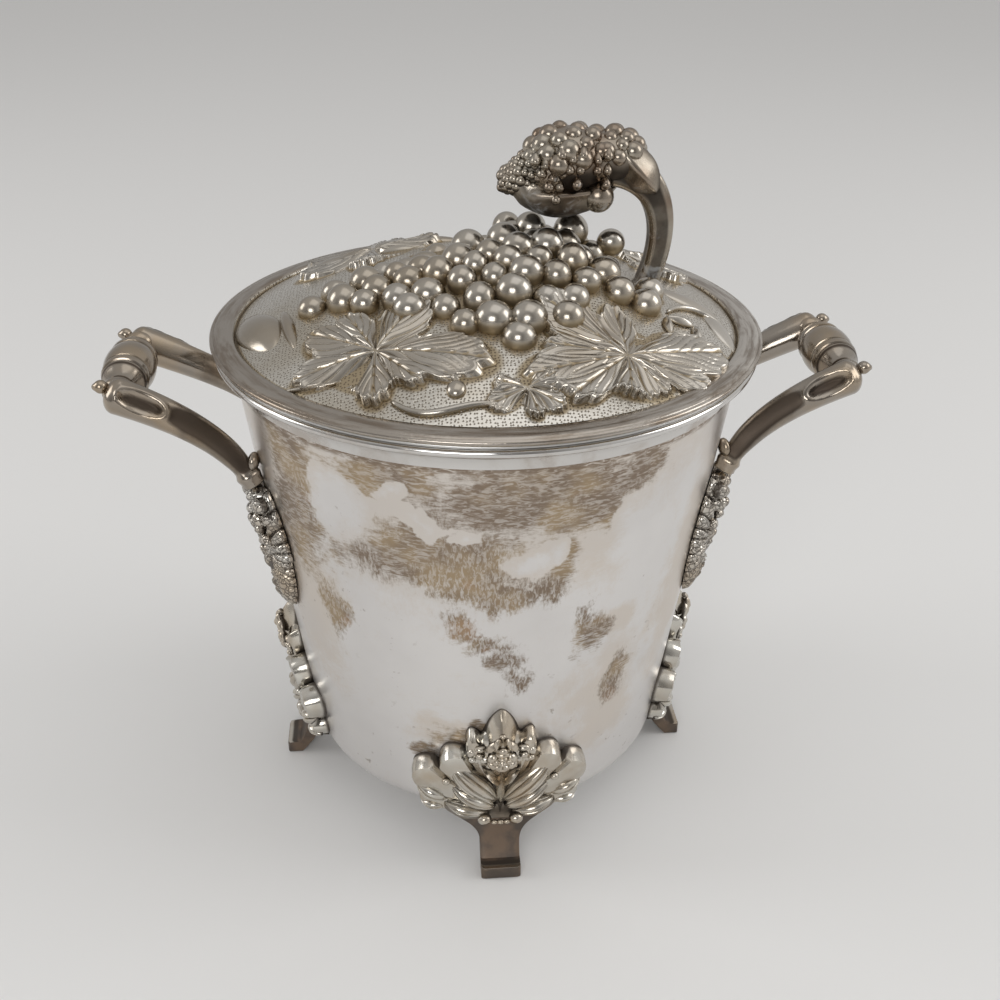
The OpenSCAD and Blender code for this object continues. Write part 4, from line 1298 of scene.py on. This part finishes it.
def stemPlace(u, v):
    # rectangular bar that follows the stem's side line from the fan's root down to the toe
    top = foot["rootZ"] + 4
    z = top * (1 - v)
    rootR = wallR(foot["rootZ"]) + 4.4
    outer = rootR + (foot["toeR"] - 1.2 - rootR) * np.clip(1 - z / top, 0, 1) ** 3
    outer = np.where(z < foot["toeH"], np.maximum(outer, foot["toeR"] - 0.25 * smoothStep(4.2, 5.0, z)), outer)
    inner = rootR + (foot["toeR"] - rootR) * np.clip(1 - z / top, 0, 1) ** 3 - 6.0
    half = foot["stemHalf"] + 0.2 + 13.0 * smoothStep(8, 28, z) ** 2
    a = u * 2 * math.pi
    square = 1 / np.maximum(np.abs(np.cos(a)), np.abs(np.sin(a)))
    square = np.minimum(square, 1.32)
    ends = np.where((v < 1e-6) | (v > 1 - 1e-6), 0.0, 1.0)
    x = (outer + inner) / 2 + (outer - inner) / 2 * np.clip(square * np.cos(a), -1, 1) * ends
    y = half * np.clip(square * np.sin(a), -1, 1) * ends
    # painted highlight on the toe's ledge edge and painted shade on the web above z 21; the rest of the stem is
    # marked for its bronze tone
    corner = smoothStep(0.35, 0.05, np.abs(z - foot["toeH"])) * (np.cos(a) > 0.6)
    return np.stack([x, y, z], 1), np.where(corner > 0.5, 0.9, np.where(z > 21, 0.3, -1.0))


footParts.append(wrapped("stem", 64, 90, stemPlace))
footModel = joined("footModel", footParts)
bpy.ops.object.shade_smooth_by_angle(angle=meshing["sharpAngle"])
for name, node, degrees in (("rightFoot", "right_foot", 0), ("rearFoot", "rear_foot", 90),
                            ("leftFoot", "left_foot", 180), ("frontFoot", "front_foot", -90)):
    dress(copied(footModel, name, math.radians(degrees)), footMaterial, "bucket", "cast_silver", node)
bpy.data.objects.remove(footModel)
print("feet made")

# Floor, light and camera
clearSelection()
bpy.ops.mesh.primitive_plane_add(size=6)
floor = bpy.context.object
floor.name = "floor"
paint = Shade("paleFloor")
floor.data.materials.append(paint.finish(rgb(0.80, 0.795, 0.785), 0.55, 0.0))

light = {"world": 0.60, "front": 9.5, "top": 2.8, "left": 5.0, "right": 5.5}
world = bpy.data.worlds.new("room")
bpy.context.scene.world = world
room = Shade("room", world)
sky = room.tree.nodes["Background"]
rightward, forward, height = room.axes(room.add("ShaderNodeTexCoord", out=0))
tone = room.mix(room.step(0.25, 0.95, height), rgb(0.72, 0.71, 0.70), rgb(1.0, 0.99, 0.98))
tone = room.mix(room.step(-0.25, -0.85, forward) * 0.75, tone, rgb(0.20, 0.19, 0.18))
tone = room.mix(room.step(0.15, 0.75, rightward) * 0.6, tone, rgb(1.25, 1.24, 1.22))
room.plug(sky.inputs["Color"], tone)
room.plug(sky.inputs["Strength"], light["world"])


def softBox(name, place, aim, size, power):
    clearSelection()
    bpy.ops.object.light_add(type="AREA", location=place)
    lamp = bpy.context.object
    lamp.name = name
    lamp.data.shape = "RECTANGLE"
    lamp.data.size, lamp.data.size_y = size
    lamp.data.energy = power
    lamp.rotation_euler = (Vector(aim) - Vector(place)).to_track_quat("-Z", "Y").to_euler()
    return lamp


softBox("frontWindow", (-0.5, -1.7, 0.9), (0, 0, 0.12), (0.9, 0.7), light["front"])
softBox("ceiling", (0.2, -0.1, 1.7), (0, 0, 0), (1.4, 1.2), light["top"])
softBox("leftWindow", (-1.5, 0.2, 0.8), (0, 0, 0.12), (0.6, 0.9), light["left"])
softBox("rightWindow", (1.4, -0.1, 0.9), (0, 0, 0.15), (0.8, 0.9), light["right"])

view = {"place": (-31.14, -396.30, 339.38), "axis": (0.07984, 0.86547, -0.49456), "roll": 0.697, "lens": 43.4,
        "sensor": 36}
axis = Vector(view["axis"]).normalized()
right = axis.cross(Vector((0, 0, 1))).normalized()
upper = right.cross(axis)
roll = math.radians(view["roll"])
rolledRight = right * math.cos(roll) + upper * math.sin(roll)
rolledUp = upper * math.cos(roll) - right * math.sin(roll)
bpy.ops.object.camera_add(location=Vector(view["place"]) * mm)
camera = bpy.context.object
camera.rotation_euler = Matrix((rolledRight, rolledUp, -axis)).transposed().to_euler()
camera.data.lens = view["lens"]
camera.data.sensor_width = view["sensor"]
bpy.context.scene.camera = camera
bpy.context.scene.view_settings.view_transform = "Standard"
print("stage, light and camera set")
